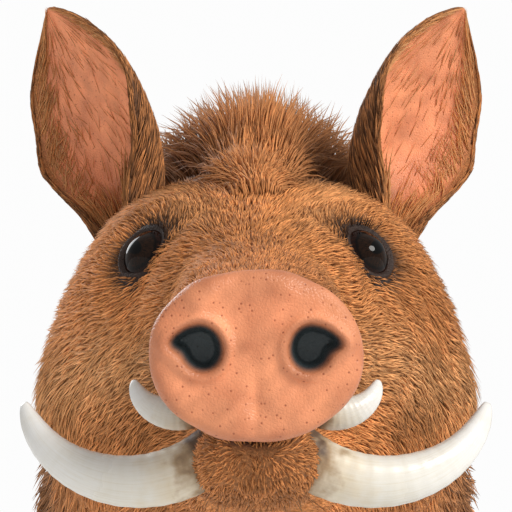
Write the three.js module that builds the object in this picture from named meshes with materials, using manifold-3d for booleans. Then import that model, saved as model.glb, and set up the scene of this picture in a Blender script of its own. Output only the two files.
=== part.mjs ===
// A life-size adult male wild boar standing square on its four feet, head raised and looking straight
// ahead. Millimetres, +Z up; the boar faces -Y and its right side is at -X. Every solid reaches out to
// the tips of the coat. The body is lofted whole, then parted by thin cuts into the pieces that have names.
import * as THREE from "three";
import { mergeVertices } from "three/addons/utils/BufferGeometryUtils.js";
import Module from "manifold-3d";

const wasm = await Module();
wasm.setup();

// ---------------------------------------------------------------- driving sizes
const GAP = 0.4; // clearance between neighbouring solids
const BODY_SIDES = 28; // facets round the trunk and head
const LIMB_SIDES = 14; // facets round a leg, the jaw and the mane
const TAIL_SIDES = 10;
const TUSK_SIDES = 8;
const SNOUT_HEIGHT = 621; // centre of the snout disc above the floor
const EYE = { x: 57.4, back: 218, z: 709, radius: 20 };
const DISC = { halfWidth: 46, halfHeight: 37, ahead: 6, tilt: 12, thickness: 17, sides: 20 };
const NOSTRIL = { x: 23, z: 3, halfWidth: 9.5, halfHeight: 10.5, depth: 12 };
const HOOF_TOP = 46; // where the horn of the hoof meets the leg
const ELBOW_CUT = 428; // height of the cut between trunk and foreleg
const STIFLE_CUT = 496; // height of the cut between trunk and hind leg
const SHANK_CUT = { fore: 222, hind: 238 }; // below the knee and below the hock

// ---------------------------------------------------------------- shape functions
// A smooth curve through [where, value] pairs: cubic, with each slope taken from its two neighbours.
function curve(...pairs) {
  const last = pairs.length - 1;
  const slope = (i) => {
    const a = pairs[Math.max(i - 1, 0)];
    const b = pairs[Math.min(i + 1, last)];
    return (b[1] - a[1]) / (b[0] - a[0]);
  };
  return (at) => {
    const t = THREE.MathUtils.clamp(at, pairs[0][0], pairs[last][0]);
    let i = 0;
    while (i < last - 1 && t > pairs[i + 1][0]) i += 1;
    const [x0, y0] = pairs[i];
    const [x1, y1] = pairs[i + 1];
    const span = x1 - x0;
    const u = (t - x0) / span;
    const rise = u * u * (3 - 2 * u);
    const lead = u * (1 - u) * (1 - u);
    const trail = u * u * (u - 1);
    return y0 + (y1 - y0) * rise + span * (slope(i) * lead + slope(i + 1) * trail);
  };
}

const signedPower = (value, power) => Math.sign(value) * Math.abs(value) ** power;
const smoothStep = (low, high, value) => THREE.MathUtils.smoothstep(value, low, high);

// Evenly spaced numbers from first to last, both included.
function steps(first, last, count) {
  return Array.from({ length: count }, (_, i) => first + ((last - first) * i) / (count - 1));
}

// A closed body from rings of points; both ends are closed by a fan round the middle of the end ring.
function loft(rings) {
  const sides = rings[0].length;
  const points = rings.flat();
  const middle = (ring) =>
    ring.reduce((sum, p) => sum.add(p), new THREE.Vector3()).divideScalar(sides);
  points.push(middle(rings[0]), middle(rings.at(-1)));
  const firstPole = points.length - 2;
  const faces = [];
  for (let j = 0; j < sides; j += 1) {
    const next = (j + 1) % sides;
    faces.push(firstPole, next, j);
    for (let i = 0; i < rings.length - 1; i += 1) {
      const low = i * sides;
      const high = low + sides;
      faces.push(low + j, low + next, high + next, low + j, high + next, high + j);
    }
    const top = (rings.length - 1) * sides;
    faces.push(firstPole + 1, top + j, top + next);
  }
  const geometry = new THREE.BufferGeometry().setFromPoints(points);
  geometry.setIndex(faces);
  return solid(geometry);
}

// A manifold-3d solid from a closed three.js geometry, turned so that its faces point out.
function solid(geometry) {
  geometry.deleteAttribute("normal");
  geometry.deleteAttribute("uv");
  const merged = mergeVertices(geometry, 1e-4);
  const vertProperties = merged.attributes.position.array;
  const triVerts = new Uint32Array(merged.index.array);
  const made = new wasm.Manifold(new wasm.Mesh({ numProp: 3, vertProperties, triVerts }));
  if (made.volume() >= 0) return made;
  for (let i = 0; i < triVerts.length; i += 3) {
    [triVerts[i + 1], triVerts[i + 2]] = [triVerts[i + 2], triVerts[i + 1]];
  }
  return new wasm.Manifold(new wasm.Mesh({ numProp: 3, vertProperties, triVerts }));
}

// ---------------------------------------------------------------- trunk, neck and head
// Along the animal, by distance back from the snout disc.
const topLine = curve(
  [0, 654], [35, 666], [75, 680], [110, 694], [150, 710], [186, 727], [223, 747], [262, 768],
  [300, 785], [337, 799], [375, 810], [440, 820], [530, 836], [620, 851], [700, 856], [790, 847],
  [880, 829], [990, 806], [1100, 786], [1200, 760], [1275, 724], [1335, 682], [1378, 636], [1400, 594],
);
const underLine = curve(
  [0, 584], [40, 590], [85, 600], [125, 606], [165, 608], [200, 600], [245, 574], [295, 550],
  [340, 538], [400, 530], [455, 508], [515, 470], [580, 430], [650, 398], [725, 382], [810, 378],
  [900, 381], [1010, 392], [1115, 414], [1200, 444], [1270, 486], [1335, 532], [1378, 566], [1400, 584],
);
const halfWidth = curve(
  [0, 40], [20, 39], [45, 40], [78, 46], [110, 46], [150, 51], [185, 70], [218, 90], [260, 106],
  [300, 119], [340, 130], [380, 137], [440, 147], [505, 156], [580, 167], [655, 178], [725, 186],
  [810, 188], [900, 185], [1010, 181], [1115, 174], [1200, 163], [1275, 145], [1335, 116], [1378, 71],
  [1400, 30],
);
const widestLevel = curve(
  [0, 619], [75, 634], [150, 648], [220, 662], [300, 660], [380, 656], [505, 640], [650, 606],
  [725, 594], [900, 592], [1115, 602], [1275, 616], [1400, 592],
);
const topSquareness = curve(
  [0, 2.2], [60, 2.6], [150, 2.8], [225, 3.3], [320, 2.7], [450, 2.05], [700, 1.95], [1100, 2.1],
  [1400, 2.0],
);
const underSquareness = curve([0, 2.2], [150, 2.2], [300, 2.1], [650, 2.05], [1000, 2.25], [1400, 2.0]);

// The lower jaw hangs below the head from the chin to the corner of the jaw.
const jaw = {
  top: curve([34, 590], [85, 598], [125, 604], [165, 607], [220, 615], [330, 625]),
  under: curve([34, 574], [48, 566], [88, 560], [130, 560], [170, 558], [211, 556], [252, 551], [330, 546]),
  half: curve([34, 19], [48, 27], [88, 33], [130, 37], [170, 44], [211, 54], [252, 68], [330, 86]),
  topSquareness: 2.4,
  underSquareness: 2.2,
};

// Rounded masses that swell the lofts: centre, reach in each direction, and height.
const masses = [
  { name: "cheekbone", at: [92, 268, 690], reach: [60, 55, 26], rise: 7 },
  { name: "jowl", at: [120, 325, 632], reach: [70, 75, 60], rise: 23 },
  { name: "brow", at: [62, 216, 747], reach: [24, 34, 16], rise: 8 },
  { name: "eye socket", at: [70, 206, 715], reach: [20, 22, 15], rise: -7 },
  { name: "hollow before the eye", at: [56, 160, 678], reach: [20, 34, 22], rise: -4 },
  { name: "root of the tusk", at: [44, 84, 622], reach: [18, 26, 20], rise: 5 },
  { name: "shoulder blade", at: [160, 655, 690], reach: [80, 90, 130], rise: 10 },
  { name: "flank hollow", at: [172, 1100, 545], reach: [70, 65, 110], rise: -10 },
  { name: "rump muscle", at: [130, 1235, 640], reach: [80, 105, 90], rise: 9 },
];

// Moves a point away from the axis at height axisZ by the rise of every mass near it.
function swell(point, axisZ) {
  let rise = 0;
  for (const mass of masses) {
    const far = [Math.abs(point.x), point.y, point.z].reduce(
      (sum, value, axis) => sum + ((value - mass.at[axis]) / mass.reach[axis]) ** 2,
      0,
    );
    rise += mass.rise * Math.exp(-far);
  }
  const out = new THREE.Vector3(point.x, 0, point.z - axisZ).normalize();
  return point.addScaledVector(out, rise);
}

// One upright ring of the trunk or head: a rounded oval with its own squareness above and below.
function uprightRing(back, sides, half, top, under, level, squareAbove, squareBelow, grow) {
  const ring = [];
  for (let j = 0; j < sides; j += 1) {
    const angle = (2 * Math.PI * j) / sides;
    const above = Math.sin(angle) >= 0;
    const power = 2 / (above ? squareAbove : squareBelow);
    const reach = (above ? top - level : level - under) + grow;
    const x = (half + grow) * signedPower(Math.cos(angle), power);
    const z = level + reach * signedPower(Math.sin(angle), power);
    ring.push(swell(new THREE.Vector3(x, back, z), level));
  }
  return ring;
}

const headStations = [12, 32, 55, 80, 110, 145, 172, 196, 218, 240, 270, 305, 345];
const trunkStations = [390, 440, 500, 570, 640, 710, 790, 890, 990, 1090, 1170, 1235, 1290, 1335, 1368,
  1390, 1400];
const jawStations = [34, 44, 90, 130, 170, 211, 260, 330];

// The trunk, neck and head in one body.
function bodyLoft(grow = 0) {
  return loft(
    [...headStations, ...trunkStations].map((back) =>
      uprightRing(back, BODY_SIDES, halfWidth(back), topLine(back), underLine(back),
        widestLevel(back), topSquareness(back), underSquareness(back), grow)),
  );
}

function jawLoft(grow = 0) {
  return loft(
    jawStations.map((back) => {
      const level = (jaw.top(back) + jaw.under(back)) / 2;
      return uprightRing(back, LIMB_SIDES, jaw.half(back), jaw.top(back), jaw.under(back), level,
        jaw.topSquareness, jaw.underSquareness, grow);
    }),
  );
}

// ---------------------------------------------------------------- mane
// The crest of bristles from the brow over the neck to the loin, standing on the top line.
const maneRise = curve(
  [262, 0], [300, 18], [345, 50], [400, 80], [470, 86], [580, 76], [700, 58], [830, 36], [970, 18],
  [1100, 4],
);
const maneHalf = curve(
  [262, 24], [300, 38], [335, 43], [365, 52], [388, 70], [410, 94], [460, 112], [700, 98], [940, 56],
  [1100, 22],
);
const MANE_ROOT = 45; // how far the crest reaches down before the body is cut from it
const MANE_PINCH = 1.15; // above 1, the crest narrows faster than an oval towards its top

function maneLoft() {
  return loft(
    steps(272, 1094, 13).map((back) => {
      const top = topLine(back) + maneRise(back);
      const level = topLine(back) - MANE_ROOT / 2;
      const ring = [];
      for (let j = 0; j < LIMB_SIDES; j += 1) {
        const angle = (2 * Math.PI * j) / LIMB_SIDES;
        const reach = Math.sin(angle) >= 0 ? top - level : MANE_ROOT / 2;
        const x = maneHalf(back) * signedPower(Math.cos(angle), MANE_PINCH);
        ring.push(new THREE.Vector3(x, back, level + reach * Math.sin(angle)));
      }
      return ring;
    }),
  );
}

// ---------------------------------------------------------------- legs
// Level rings by height: centre from the midline, centre from the leg's own station, half sizes.
const foreleg = {
  station: 673,
  splay: curve([42, 92], [160, 94], [285, 97], [380, 100], [480, 104], [640, 100]),
  back: curve([42, -16], [65, -8], [92, 2], [120, 3], [160, 1], [205, -2], [240, -5], [285, -3],
    [330, 1], [380, 6], [430, 12], [480, 10], [540, 0], [640, 4]),
  halfLong: curve([42, 27], [65, 26], [92, 27], [120, 23], [160, 23], [205, 27], [240, 33],
    [285, 35], [330, 41], [380, 50], [430, 68], [480, 84], [540, 94], [600, 86], [640, 60]),
  halfWide: curve([42, 27], [65, 25], [92, 25], [120, 20], [160, 20], [205, 24], [240, 29],
    [285, 29], [330, 33], [380, 40], [430, 51], [480, 60], [540, 70], [600, 74], [640, 50]),
  heights: [42, 66, 92, 120, 165, 205, 242, 285, 330, 380, 430, 485, 545, 600, 640],
};
const hindLeg = {
  station: 1243,
  splay: curve([42, 92], [180, 91], [262, 89], [340, 86], [440, 84], [560, 86], [680, 80]),
  back: curve([42, 33], [68, 42], [95, 53], [135, 62], [180, 70], [225, 78], [262, 82], [300, 70],
    [340, 48], [390, 18], [440, -8], [500, -18], [560, -8], [620, 0], [680, -5]),
  halfLong: curve([42, 27], [68, 26], [95, 27], [135, 23], [180, 24], [225, 29], [262, 39],
    [300, 43], [340, 52], [390, 71], [440, 96], [500, 122], [560, 130], [620, 118], [680, 70]),
  halfWide: curve([42, 27], [68, 25], [95, 25], [135, 20], [180, 20], [225, 23], [262, 28],
    [300, 30], [340, 36], [390, 46], [440, 56], [500, 68], [560, 75], [620, 72], [680, 48]),
  heights: [42, 68, 95, 135, 180, 225, 262, 300, 345, 392, 440, 500, 560, 620, 680],
};
// How far each foot stands forward (-) or back (+) of square.
const stance = { fore_left: -24, fore_right: 18, hind_left: 20, hind_right: -22 };

// A foot's share of its stance at a height: all of it below the knee, none at the shoulder or hip.
const swing = (height) => 1 - smoothStep(230, 540, height);

function limbLoft(leg, side, shift, grow = 0) {
  return loft(
    leg.heights.map((height) => {
      const x = side * leg.splay(height);
      const y = leg.station + leg.back(height) + shift * swing(height);
      const ring = [];
      for (let j = 0; j < LIMB_SIDES; j += 1) {
        const angle = (2 * Math.PI * j) / LIMB_SIDES;
        ring.push(new THREE.Vector3(
          x + (leg.halfWide(height) + grow) * Math.cos(angle),
          y + (leg.halfLong(height) + grow) * Math.sin(angle),
          height,
        ));
      }
      return ring;
    }),
  );
}

// One claw of a hoof: flat on its inner side and sole, its wall sloping forward to the toe.
const claw = {
  toe: curve([0, -37], [14, -32], [30, -22], [HOOF_TOP + 6, -12]),
  heel: curve([0, 20], [14, 24], [30, 27], [HOOF_TOP + 6, 27]),
  outside: curve([0, 27], [14, 28], [30, 27], [HOOF_TOP + 6, 25]),
  cleft: 2,
  sides: 10,
  heights: [0, 14, 30, HOOF_TOP + 6],
};

function clawLoft(x, y, outward) {
  return loft(
    claw.heights.map((height) => {
      const middle = (claw.toe(height) + claw.heel(height)) / 2;
      const halfLong = (claw.heel(height) - claw.toe(height)) / 2;
      const ring = [];
      for (let j = 0; j < claw.sides; j += 1) {
        const angle = (2 * Math.PI * j) / claw.sides;
        const across = claw.outside(height) * signedPower(Math.cos(angle), 0.85);
        ring.push(new THREE.Vector3(
          x + outward * Math.max(claw.cleft, across),
          y + middle + halfLong * Math.sin(angle),
          height,
        ));
      }
      return ring;
    }),
  );
}

// A dewclaw: a short blunt cone on the back of the pastern, pointing down and back.
const dewclaw = { x: 17, back: 29, z: 73, radius: 9.5, tip: 3.5, length: 34, lean: 32, turn: 11, sides: 6 };

function dewclawSolid(x, y, outward) {
  const shape = new THREE.CylinderGeometry(dewclaw.radius, dewclaw.tip, dewclaw.length, dewclaw.sides);
  shape.rotateX(THREE.MathUtils.degToRad(90 + dewclaw.lean));
  shape.rotateY(outward * THREE.MathUtils.degToRad(dewclaw.turn));
  shape.translate(x + outward * dewclaw.x, y + dewclaw.back, dewclaw.z);
  return solid(shape);
}

// ---------------------------------------------------------------- ears
// A leaf-shaped shell rolled into a scoop: the hollow faces forward and outward.
const ear = {
  base: new THREE.Vector3(98, 336, 755),
  tip: new THREE.Vector3(143, 348, 917),
  facing: new THREE.Vector3(0.78, -0.62, 0.1),
  halfArc: curve([0, 54], [0.15, 67], [0.3, 76], [0.45, 77], [0.65, 65], [0.85, 38], [0.95, 18], [1, 5]),
  roll: curve([0, 2.3], [0.15, 1.95], [0.3, 1.5], [0.6, 1.05], [1, 0.8]),
  thick: curve([0, 12], [0.3, 9], [0.8, 6], [1, 4]),
  bow: 14, // how far the middle of its length is bent back
  rows: 9,
  columns: 7,
};

function earLoft(side) {
  const axis = ear.tip.clone().sub(ear.base);
  const length = axis.length();
  axis.normalize();
  const facing = ear.facing.clone().addScaledVector(axis, -ear.facing.dot(axis)).normalize();
  const across = new THREE.Vector3().crossVectors(axis, facing);
  const rings = steps(0, 1, ear.rows).map((v) => {
    const roll = ear.roll(v);
    const outer = ear.halfArc(v) / roll;
    const inner = Math.max(outer - ear.thick(v), 0.35 * outer);
    const rim = outer * Math.cos(roll);
    const bow = -ear.bow * v * (1 - v);
    const place = (radius, angle) =>
      ear.base.clone()
        .addScaledVector(axis, v * length)
        .addScaledVector(across, radius * Math.sin(angle))
        .addScaledVector(facing, rim - radius * Math.cos(angle) + bow);
    const back = steps(-roll, roll, ear.columns).map((angle) => place(outer, angle));
    const hollow = steps(roll * 0.97, -roll * 0.97, ear.columns).map((angle) => place(inner, angle));
    return [...back, ...hollow].map((p) => new THREE.Vector3(side * p.x, p.y, p.z));
  });
  return loft(rings);
}

// ---------------------------------------------------------------- snout disc
// The flat oval end of the muzzle, its lower edge set back, with two nostrils sunk in it.
function discSolid(grow = 0) {
  const profile = [[0, 0.8], [2, 0.93], [6, 1], [11, 0.97], [DISC.thickness, 0.8], [DISC.thickness + 3, 0.6]];
  const rings = profile.map(([depth, share], row) =>
    steps(0, 2 * Math.PI, DISC.sides + 1).slice(1).map((angle) =>
      new THREE.Vector3(
        (DISC.halfWidth * share + grow) * Math.cos(angle),
        depth + (row > profile.length / 2 ? grow : 0),
        (DISC.halfHeight * share + grow) * signedPower(Math.sin(angle), 0.9),
      )));
  const nostrils = [-1, 1].map((side) => {
    const pit = new THREE.CylinderGeometry(1, 0.7, NOSTRIL.depth, 12);
    pit.rotateX(Math.PI).scale(NOSTRIL.halfWidth, 1, NOSTRIL.halfHeight);
    pit.translate(side * NOSTRIL.x, NOSTRIL.depth / 2 - 1, NOSTRIL.z);
    return solid(pit);
  });
  return nostrils
    .reduce((disc, pit) => disc.subtract(pit), loft(rings))
    .rotate([DISC.tilt, 0, 0])
    .translate([0, -DISC.ahead, SNOUT_HEIGHT]);
}

// ---------------------------------------------------------------- tusks
// A tusk curves out and up along an arc; its root is cut away where it enters the lip.
const tusks = {
  lower: {
    root: [26, 76, 584], radius: 59, from: -32, to: 70, sweep: 24, thick: 13.5, buried: 0.14, rows: 9,
  },
  upper: {
    root: [33, 104, 610], radius: 22, from: -16, to: 78, sweep: 8, thick: 8.5, buried: 0.2, rows: 7,
  },
};

function tuskLoft(tusk, side) {
  const start = THREE.MathUtils.degToRad(tusk.from);
  const rings = steps(-tusk.buried, 1, tusk.rows).map((v) => {
    const angle = THREE.MathUtils.degToRad(tusk.from + (tusk.to - tusk.from) * v);
    const out = tusk.radius * (Math.sin(angle) - Math.sin(start));
    const up = tusk.radius * (Math.cos(start) - Math.cos(angle));
    const radius = tusk.thick * Math.sqrt(1 - 0.985 * Math.max(v, 0) ** 1.6);
    return steps(0, 2 * Math.PI, TUSK_SIDES + 1).slice(1).map((turn) => {
      const lift = radius * Math.cos(turn);
      return new THREE.Vector3(
        side * (tusk.root[0] + out - lift * Math.sin(angle)),
        tusk.root[1] + tusk.sweep * v * v + 0.82 * radius * Math.sin(turn),
        tusk.root[2] + up + lift * Math.cos(angle),
      );
    });
  });
  return loft(rings);
}

// ---------------------------------------------------------------- tail
const tail = {
  path: new THREE.CatmullRomCurve3([
    new THREE.Vector3(0, 1360, 664), new THREE.Vector3(0, 1396, 642), new THREE.Vector3(4, 1415, 595),
    new THREE.Vector3(10, 1420, 535), new THREE.Vector3(14, 1418, 475), new THREE.Vector3(16, 1412, 420),
  ]),
  radius: curve([0, 17], [0.25, 14], [0.6, 11], [0.75, 13], [0.9, 13], [1, 5]),
  tuftFrom: 0.62,
};

function tailLoft(from, to, rows) {
  const rings = steps(from, to, rows).map((v) => {
    const centre = tail.path.getPoint(v);
    const along = tail.path.getTangent(v);
    const side = new THREE.Vector3(1, 0, 0);
    const behind = new THREE.Vector3().crossVectors(along, side).normalize();
    return steps(0, 2 * Math.PI, TAIL_SIDES + 1).slice(1).map((angle) =>
      centre.clone()
        .addScaledVector(side, tail.radius(v) * Math.cos(angle))
        .addScaledVector(behind, tail.radius(v) * Math.sin(angle)));
  });
  return loft(rings);
}

// ---------------------------------------------------------------- parting the body
// The two sides of a solid at a plane across the animal through (back, height), leaning by lean degrees.
function partAcross(whole, { back, height, lean }) {
  const tilt = THREE.MathUtils.degToRad(lean);
  const normal = [0, Math.cos(tilt), Math.sin(tilt)];
  const offset = back * normal[1] + height * normal[2];
  return {
    behind: whole.trimByPlane(normal, offset + GAP / 2),
    ahead: whole.trimByPlane(normal.map((n) => -n), GAP / 2 - offset),
  };
}

// The two sides of a solid at a level plane.
function partLevel(whole, height) {
  return {
    above: whole.trimByPlane([0, 0, 1], height + GAP / 2),
    below: whole.trimByPlane([0, 0, -1], GAP / 2 - height),
  };
}

// Where the body is parted: distance back, height and lean of each cut.
const cuts = {
  rump: { back: 1088, height: 600, lean: 0 },
  trunk: { back: 558, height: 600, lean: -8 },
  neck: { back: 392, height: 680, lean: -4 },
};

const materials = {
  coat: new THREE.MeshStandardMaterial({ color: 0x8a5a34, roughness: 0.85, metalness: 0 }),
  bristle: new THREE.MeshStandardMaterial({ color: 0x4f3320, roughness: 0.8, metalness: 0 }),
  snoutSkin: new THREE.MeshStandardMaterial({ color: 0xd9906f, roughness: 0.5, metalness: 0 }),
  ivory: new THREE.MeshStandardMaterial({ color: 0xeee8da, roughness: 0.3, metalness: 0 }),
  horn: new THREE.MeshStandardMaterial({ color: 0x2c2420, roughness: 0.5, metalness: 0 }),
  eye: new THREE.MeshStandardMaterial({ color: 0x0b0706, roughness: 0.08, metalness: 0 }),
};

const boar = new THREE.Group();

function place(name, made, material) {
  const { vertProperties, triVerts, numProp } = made.getMesh();
  const position = new Float32Array((vertProperties.length / numProp) * 3);
  for (let i = 0; i < position.length / 3; i += 1) {
    position.set(vertProperties.subarray(i * numProp, i * numProp + 3), i * 3);
  }
  const geometry = new THREE.BufferGeometry();
  geometry.setAttribute("position", new THREE.BufferAttribute(position, 3));
  geometry.setIndex(new THREE.BufferAttribute(triVerts, 1));
  const mesh = new THREE.Mesh(geometry, material);
  mesh.name = name;
  boar.add(mesh);
}

const sides = { left: 1, right: -1 };
const bodyGrown = bodyLoft(GAP);
const jawGrown = jawLoft(GAP);
let torso = bodyLoft();

// Each leg: its top stays with the trunk, the rest is parted level below the elbow or stifle.
function buildLeg(name, leg, side, cut, shankCut) {
  const whole = limbLoft(leg, side, stance[name]);
  torso = torso.add(whole.trimByPlane([0, 0, 1], cut + GAP));
  const free = whole.trimByPlane([0, 0, -1], -cut).subtract(bodyGrown);
  const { above, below } = partLevel(free, shankCut);
  place(`${name}_upper_leg`, above, materials.coat);
  place(`${name}_lower_leg`, below, materials.coat);
  const grown = limbLoft(leg, side, stance[name], GAP);
  const x = side * leg.splay(HOOF_TOP);
  const y = leg.station + leg.back(HOOF_TOP) + stance[name];
  for (const [clawName, outward] of [["inner", -side], ["outer", side]]) {
    place(`${name}_${clawName}_hoof`, clawLoft(x, y, outward).subtract(grown), materials.horn);
    const spur = dewclawSolid(x, y, outward).subtract(grown);
    place(`${name}_${clawName}_dewclaw`, spur, materials.horn);
  }
}

for (const [sideName, side] of Object.entries(sides)) {
  buildLeg(`fore_${sideName}`, foreleg, side, ELBOW_CUT, SHANK_CUT.fore);
  buildLeg(`hind_${sideName}`, hindLeg, side, STIFLE_CUT, SHANK_CUT.hind);
}

// The tail's root is cut away by the rump, and its tuft is parted from the dock.
const dock = tailLoft(0, tail.tuftFrom, 9).subtract(bodyGrown);
place("tail_dock", dock, materials.coat);
place("tail_tuft", tailLoft(tail.tuftFrom + 0.004, 1, 7), materials.bristle);

// The body: rump, trunk, neck and head, from the tail forward.
const rump = partAcross(torso, cuts.rump);
place("rump", rump.behind, materials.coat);
const trunk = partAcross(rump.ahead, cuts.trunk);
place("trunk", trunk.behind, materials.coat);
const neck = partAcross(trunk.ahead, cuts.neck);
place("neck", neck.behind, materials.coat);
place("mane", maneLoft().subtract(bodyGrown), materials.bristle);

let head = neck.ahead.subtract(discSolid(GAP));
for (const [sideName, side] of Object.entries(sides)) {
  const centre = [side * EYE.x, EYE.back, EYE.z];
  const ball = solid(new THREE.SphereGeometry(EYE.radius, 12, 8));
  const socket = solid(new THREE.SphereGeometry(EYE.radius + GAP, 12, 8));
  head = head.subtract(socket.translate(centre));
  place(`eye_${sideName}`, ball.translate(centre), materials.eye);
  place(`ear_${sideName}`, earLoft(side).subtract(bodyGrown), materials.coat);
  for (const [row, tusk] of Object.entries(tusks)) {
    const root = tuskLoft(tusk, side).subtract(bodyGrown).subtract(jawGrown);
    place(`${row}_tusk_${sideName}`, root, materials.ivory);
  }
}
place("head", head, materials.coat);
place("lower_jaw", jawLoft().subtract(bodyGrown), materials.coat);
place("snout_disc", discSolid(), materials.snoutSkin);

// The origin is on the floor, under the middle of the boar's outline.
const outline = new THREE.Box3().setFromObject(boar);
const centre = outline.getCenter(new THREE.Vector3());
boar.position.set(-centre.x, -centre.y, -outline.min.z);

export default boar;
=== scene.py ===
"""The looks of a life-size wild boar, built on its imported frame: one skin over all the flesh, a coat of
hair tufts that follows the lie of the hair, and the eyes, tusks, hooves and bristles.

Shapes are worked out in millimetres on the animal: x to its left, y back from the snout disc, z up from
the floor. They go into the frame's metres when a mesh is made."""

import math

import bpy
import numpy as np
from mathutils import Matrix, Vector


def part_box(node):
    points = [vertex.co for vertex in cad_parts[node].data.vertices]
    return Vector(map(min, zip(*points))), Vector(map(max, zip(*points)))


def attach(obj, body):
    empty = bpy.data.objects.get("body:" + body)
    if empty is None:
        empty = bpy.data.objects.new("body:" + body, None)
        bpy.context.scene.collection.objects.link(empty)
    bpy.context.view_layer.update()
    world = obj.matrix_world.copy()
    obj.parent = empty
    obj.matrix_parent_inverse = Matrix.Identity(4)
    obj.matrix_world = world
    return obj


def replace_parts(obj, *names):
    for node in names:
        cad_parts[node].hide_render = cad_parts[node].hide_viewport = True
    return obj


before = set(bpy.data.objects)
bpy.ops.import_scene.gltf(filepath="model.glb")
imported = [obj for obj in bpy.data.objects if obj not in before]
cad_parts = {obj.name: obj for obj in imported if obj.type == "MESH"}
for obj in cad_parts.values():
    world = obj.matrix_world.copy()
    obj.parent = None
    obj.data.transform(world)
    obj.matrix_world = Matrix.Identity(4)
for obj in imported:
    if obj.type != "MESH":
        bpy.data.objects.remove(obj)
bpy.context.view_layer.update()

MM = 0.001
FULL_TURN = 2 * math.pi
EYE = {"x": 57.4, "back": 218.0, "z": 709.0, "radius": 20.0}
EYE_MIDDLE = np.array([EYE["x"], EYE["back"], EYE["z"]])
EYE_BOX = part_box("eye_left")
SHIFT = (EYE_BOX[0].y + EYE_BOX[1].y) / 2 / MM - EYE["back"]  # from the animal's y to the frame's
SIDES = {1: "left", -1: "right"}
FAR = 60.0  # a gap that stands for well away from an eye, a nostril or the lips


# ---------------------------------------------------------------- curves and blends
def curve(*pairs):
    """A smooth curve through [where, value] pairs: a cubic between neighbours, each slope taken from the
    points on either side, kept as a fine table that is read by straight interpolation."""
    x, y = np.array(pairs, float).T
    slope = np.empty_like(y)
    slope[1:-1] = (y[2:] - y[:-2]) / (x[2:] - x[:-2])
    slope[0] = (y[1] - y[0]) / (x[1] - x[0])
    slope[-1] = (y[-1] - y[-2]) / (x[-1] - x[-2])
    at = np.linspace(x[0], x[-1], 1500)
    i = np.clip(np.searchsorted(x, at, side="right") - 1, 0, len(x) - 2)
    span = x[i + 1] - x[i]
    u = (at - x[i]) / span
    value = y[i] + (y[i + 1] - y[i]) * u * u * (3 - 2 * u)
    value += span * (slope[i] * u * (1 - u) ** 2 + slope[i + 1] * u * u * (u - 1))
    return lambda where: np.interp(where, at, value)


def ramp(low, high, value):
    """0 below low, 1 above high, and a smooth S between."""
    t = np.clip((np.asarray(value, float) - low) / (high - low), 0, 1)
    return t * t * (3 - 2 * t)


def hill(value, centre, width):
    """A rounded bump: 1 at the centre, fading over the width."""
    return np.exp(-(((value - centre) / width) ** 2))


def blend_min(a, b, width):
    """The smaller of two distances, rounded where they are within a width of each other."""
    near = np.maximum(width - np.abs(a - b), 0) / width
    return np.minimum(a, b) - near * near * width / 4


def blend_max(a, b, width):
    """The larger of two distances, rounded where they are within a width of each other."""
    return -blend_min(-a, -b, width)


def unit(v):
    """Vectors scaled to length 1."""
    return v / np.maximum(np.linalg.norm(v, axis=-1, keepdims=True), 1e-9)


def mix(a, b, share):
    """a at share 0, b at share 1, for arrays of colours or points."""
    share = np.asarray(share, float)[..., None]
    return np.asarray(a) * (1 - share) + np.asarray(b) * share


def xyz(x, y, z):
    """Points from their three coordinates, each a number or an array."""
    return np.stack(np.broadcast_arrays(x, y, z), -1)


def powered(value, power):
    """A power of the size of a value, with its sign."""
    return np.sign(value) * np.abs(value) ** power


def wobble(p, wavelength, seed):
    """A smooth random wave through space, about -1 to 1: the mean of eight sines in random directions."""
    rng = np.random.default_rng(seed)
    ways = unit(rng.normal(size=(8, 3))) * rng.uniform(0.7, 1.5, (8, 1)) * FULL_TURN / wavelength
    return np.sin(p @ ways.T + rng.uniform(0, FULL_TURN, 8)).sum(-1) / 3.2


def left_half(p):
    """Points, with those on the animal's right side mirrored to its left."""
    return xyz(np.abs(p[:, 0]), p[:, 1], p[:, 2])


def measured(p, near, measure, otherwise):
    """A measure taken at the points marked near, and a fixed number at the others."""
    values = np.full(len(p), otherwise)
    if near.any():
        values[near] = measure(p[near])
    return values


# ---------------------------------------------------------------- the body's measures
top_line = curve(
    [0, 654], [35, 666], [75, 680], [110, 694], [150, 710], [186, 727], [223, 747], [262, 768],
    [300, 785], [337, 799], [375, 810], [440, 820], [530, 836], [620, 851], [700, 856], [790, 847],
    [880, 829], [990, 806], [1100, 786], [1200, 760], [1275, 724], [1335, 682], [1378, 636], [1400, 594])
under_line = curve(
    [0, 584], [40, 590], [85, 600], [125, 606], [165, 608], [200, 600], [245, 574], [295, 550],
    [340, 538], [400, 530], [455, 508], [515, 470], [580, 430], [650, 398], [725, 382], [810, 378],
    [900, 381], [1010, 392], [1115, 414], [1200, 444], [1270, 486], [1335, 532], [1378, 566], [1400, 584])
half_width = curve(
    [0, 40], [20, 39], [45, 40], [78, 46], [110, 46], [150, 51], [185, 70], [218, 90], [260, 106],
    [300, 119], [340, 130], [380, 137], [440, 147], [505, 156], [580, 167], [655, 178], [725, 186],
    [810, 188], [900, 185], [1010, 181], [1115, 174], [1200, 163], [1275, 145], [1335, 116], [1378, 71],
    [1400, 30])
widest_level = curve(
    [0, 619], [75, 634], [150, 648], [220, 662], [300, 660], [380, 656], [505, 640], [650, 606],
    [725, 594], [900, 592], [1115, 602], [1275, 616], [1400, 592])
top_square = curve(
    [0, 2.2], [60, 2.6], [150, 2.8], [225, 3.3], [320, 2.7], [450, 2.05], [700, 1.95], [1100, 2.1],
    [1400, 2.0])
under_square = curve([0, 2.2], [150, 2.2], [300, 2.1], [650, 2.05], [1000, 2.25], [1400, 2.0])
MUZZLE_END, RUMP_END = 12.0, 1400.0

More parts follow.
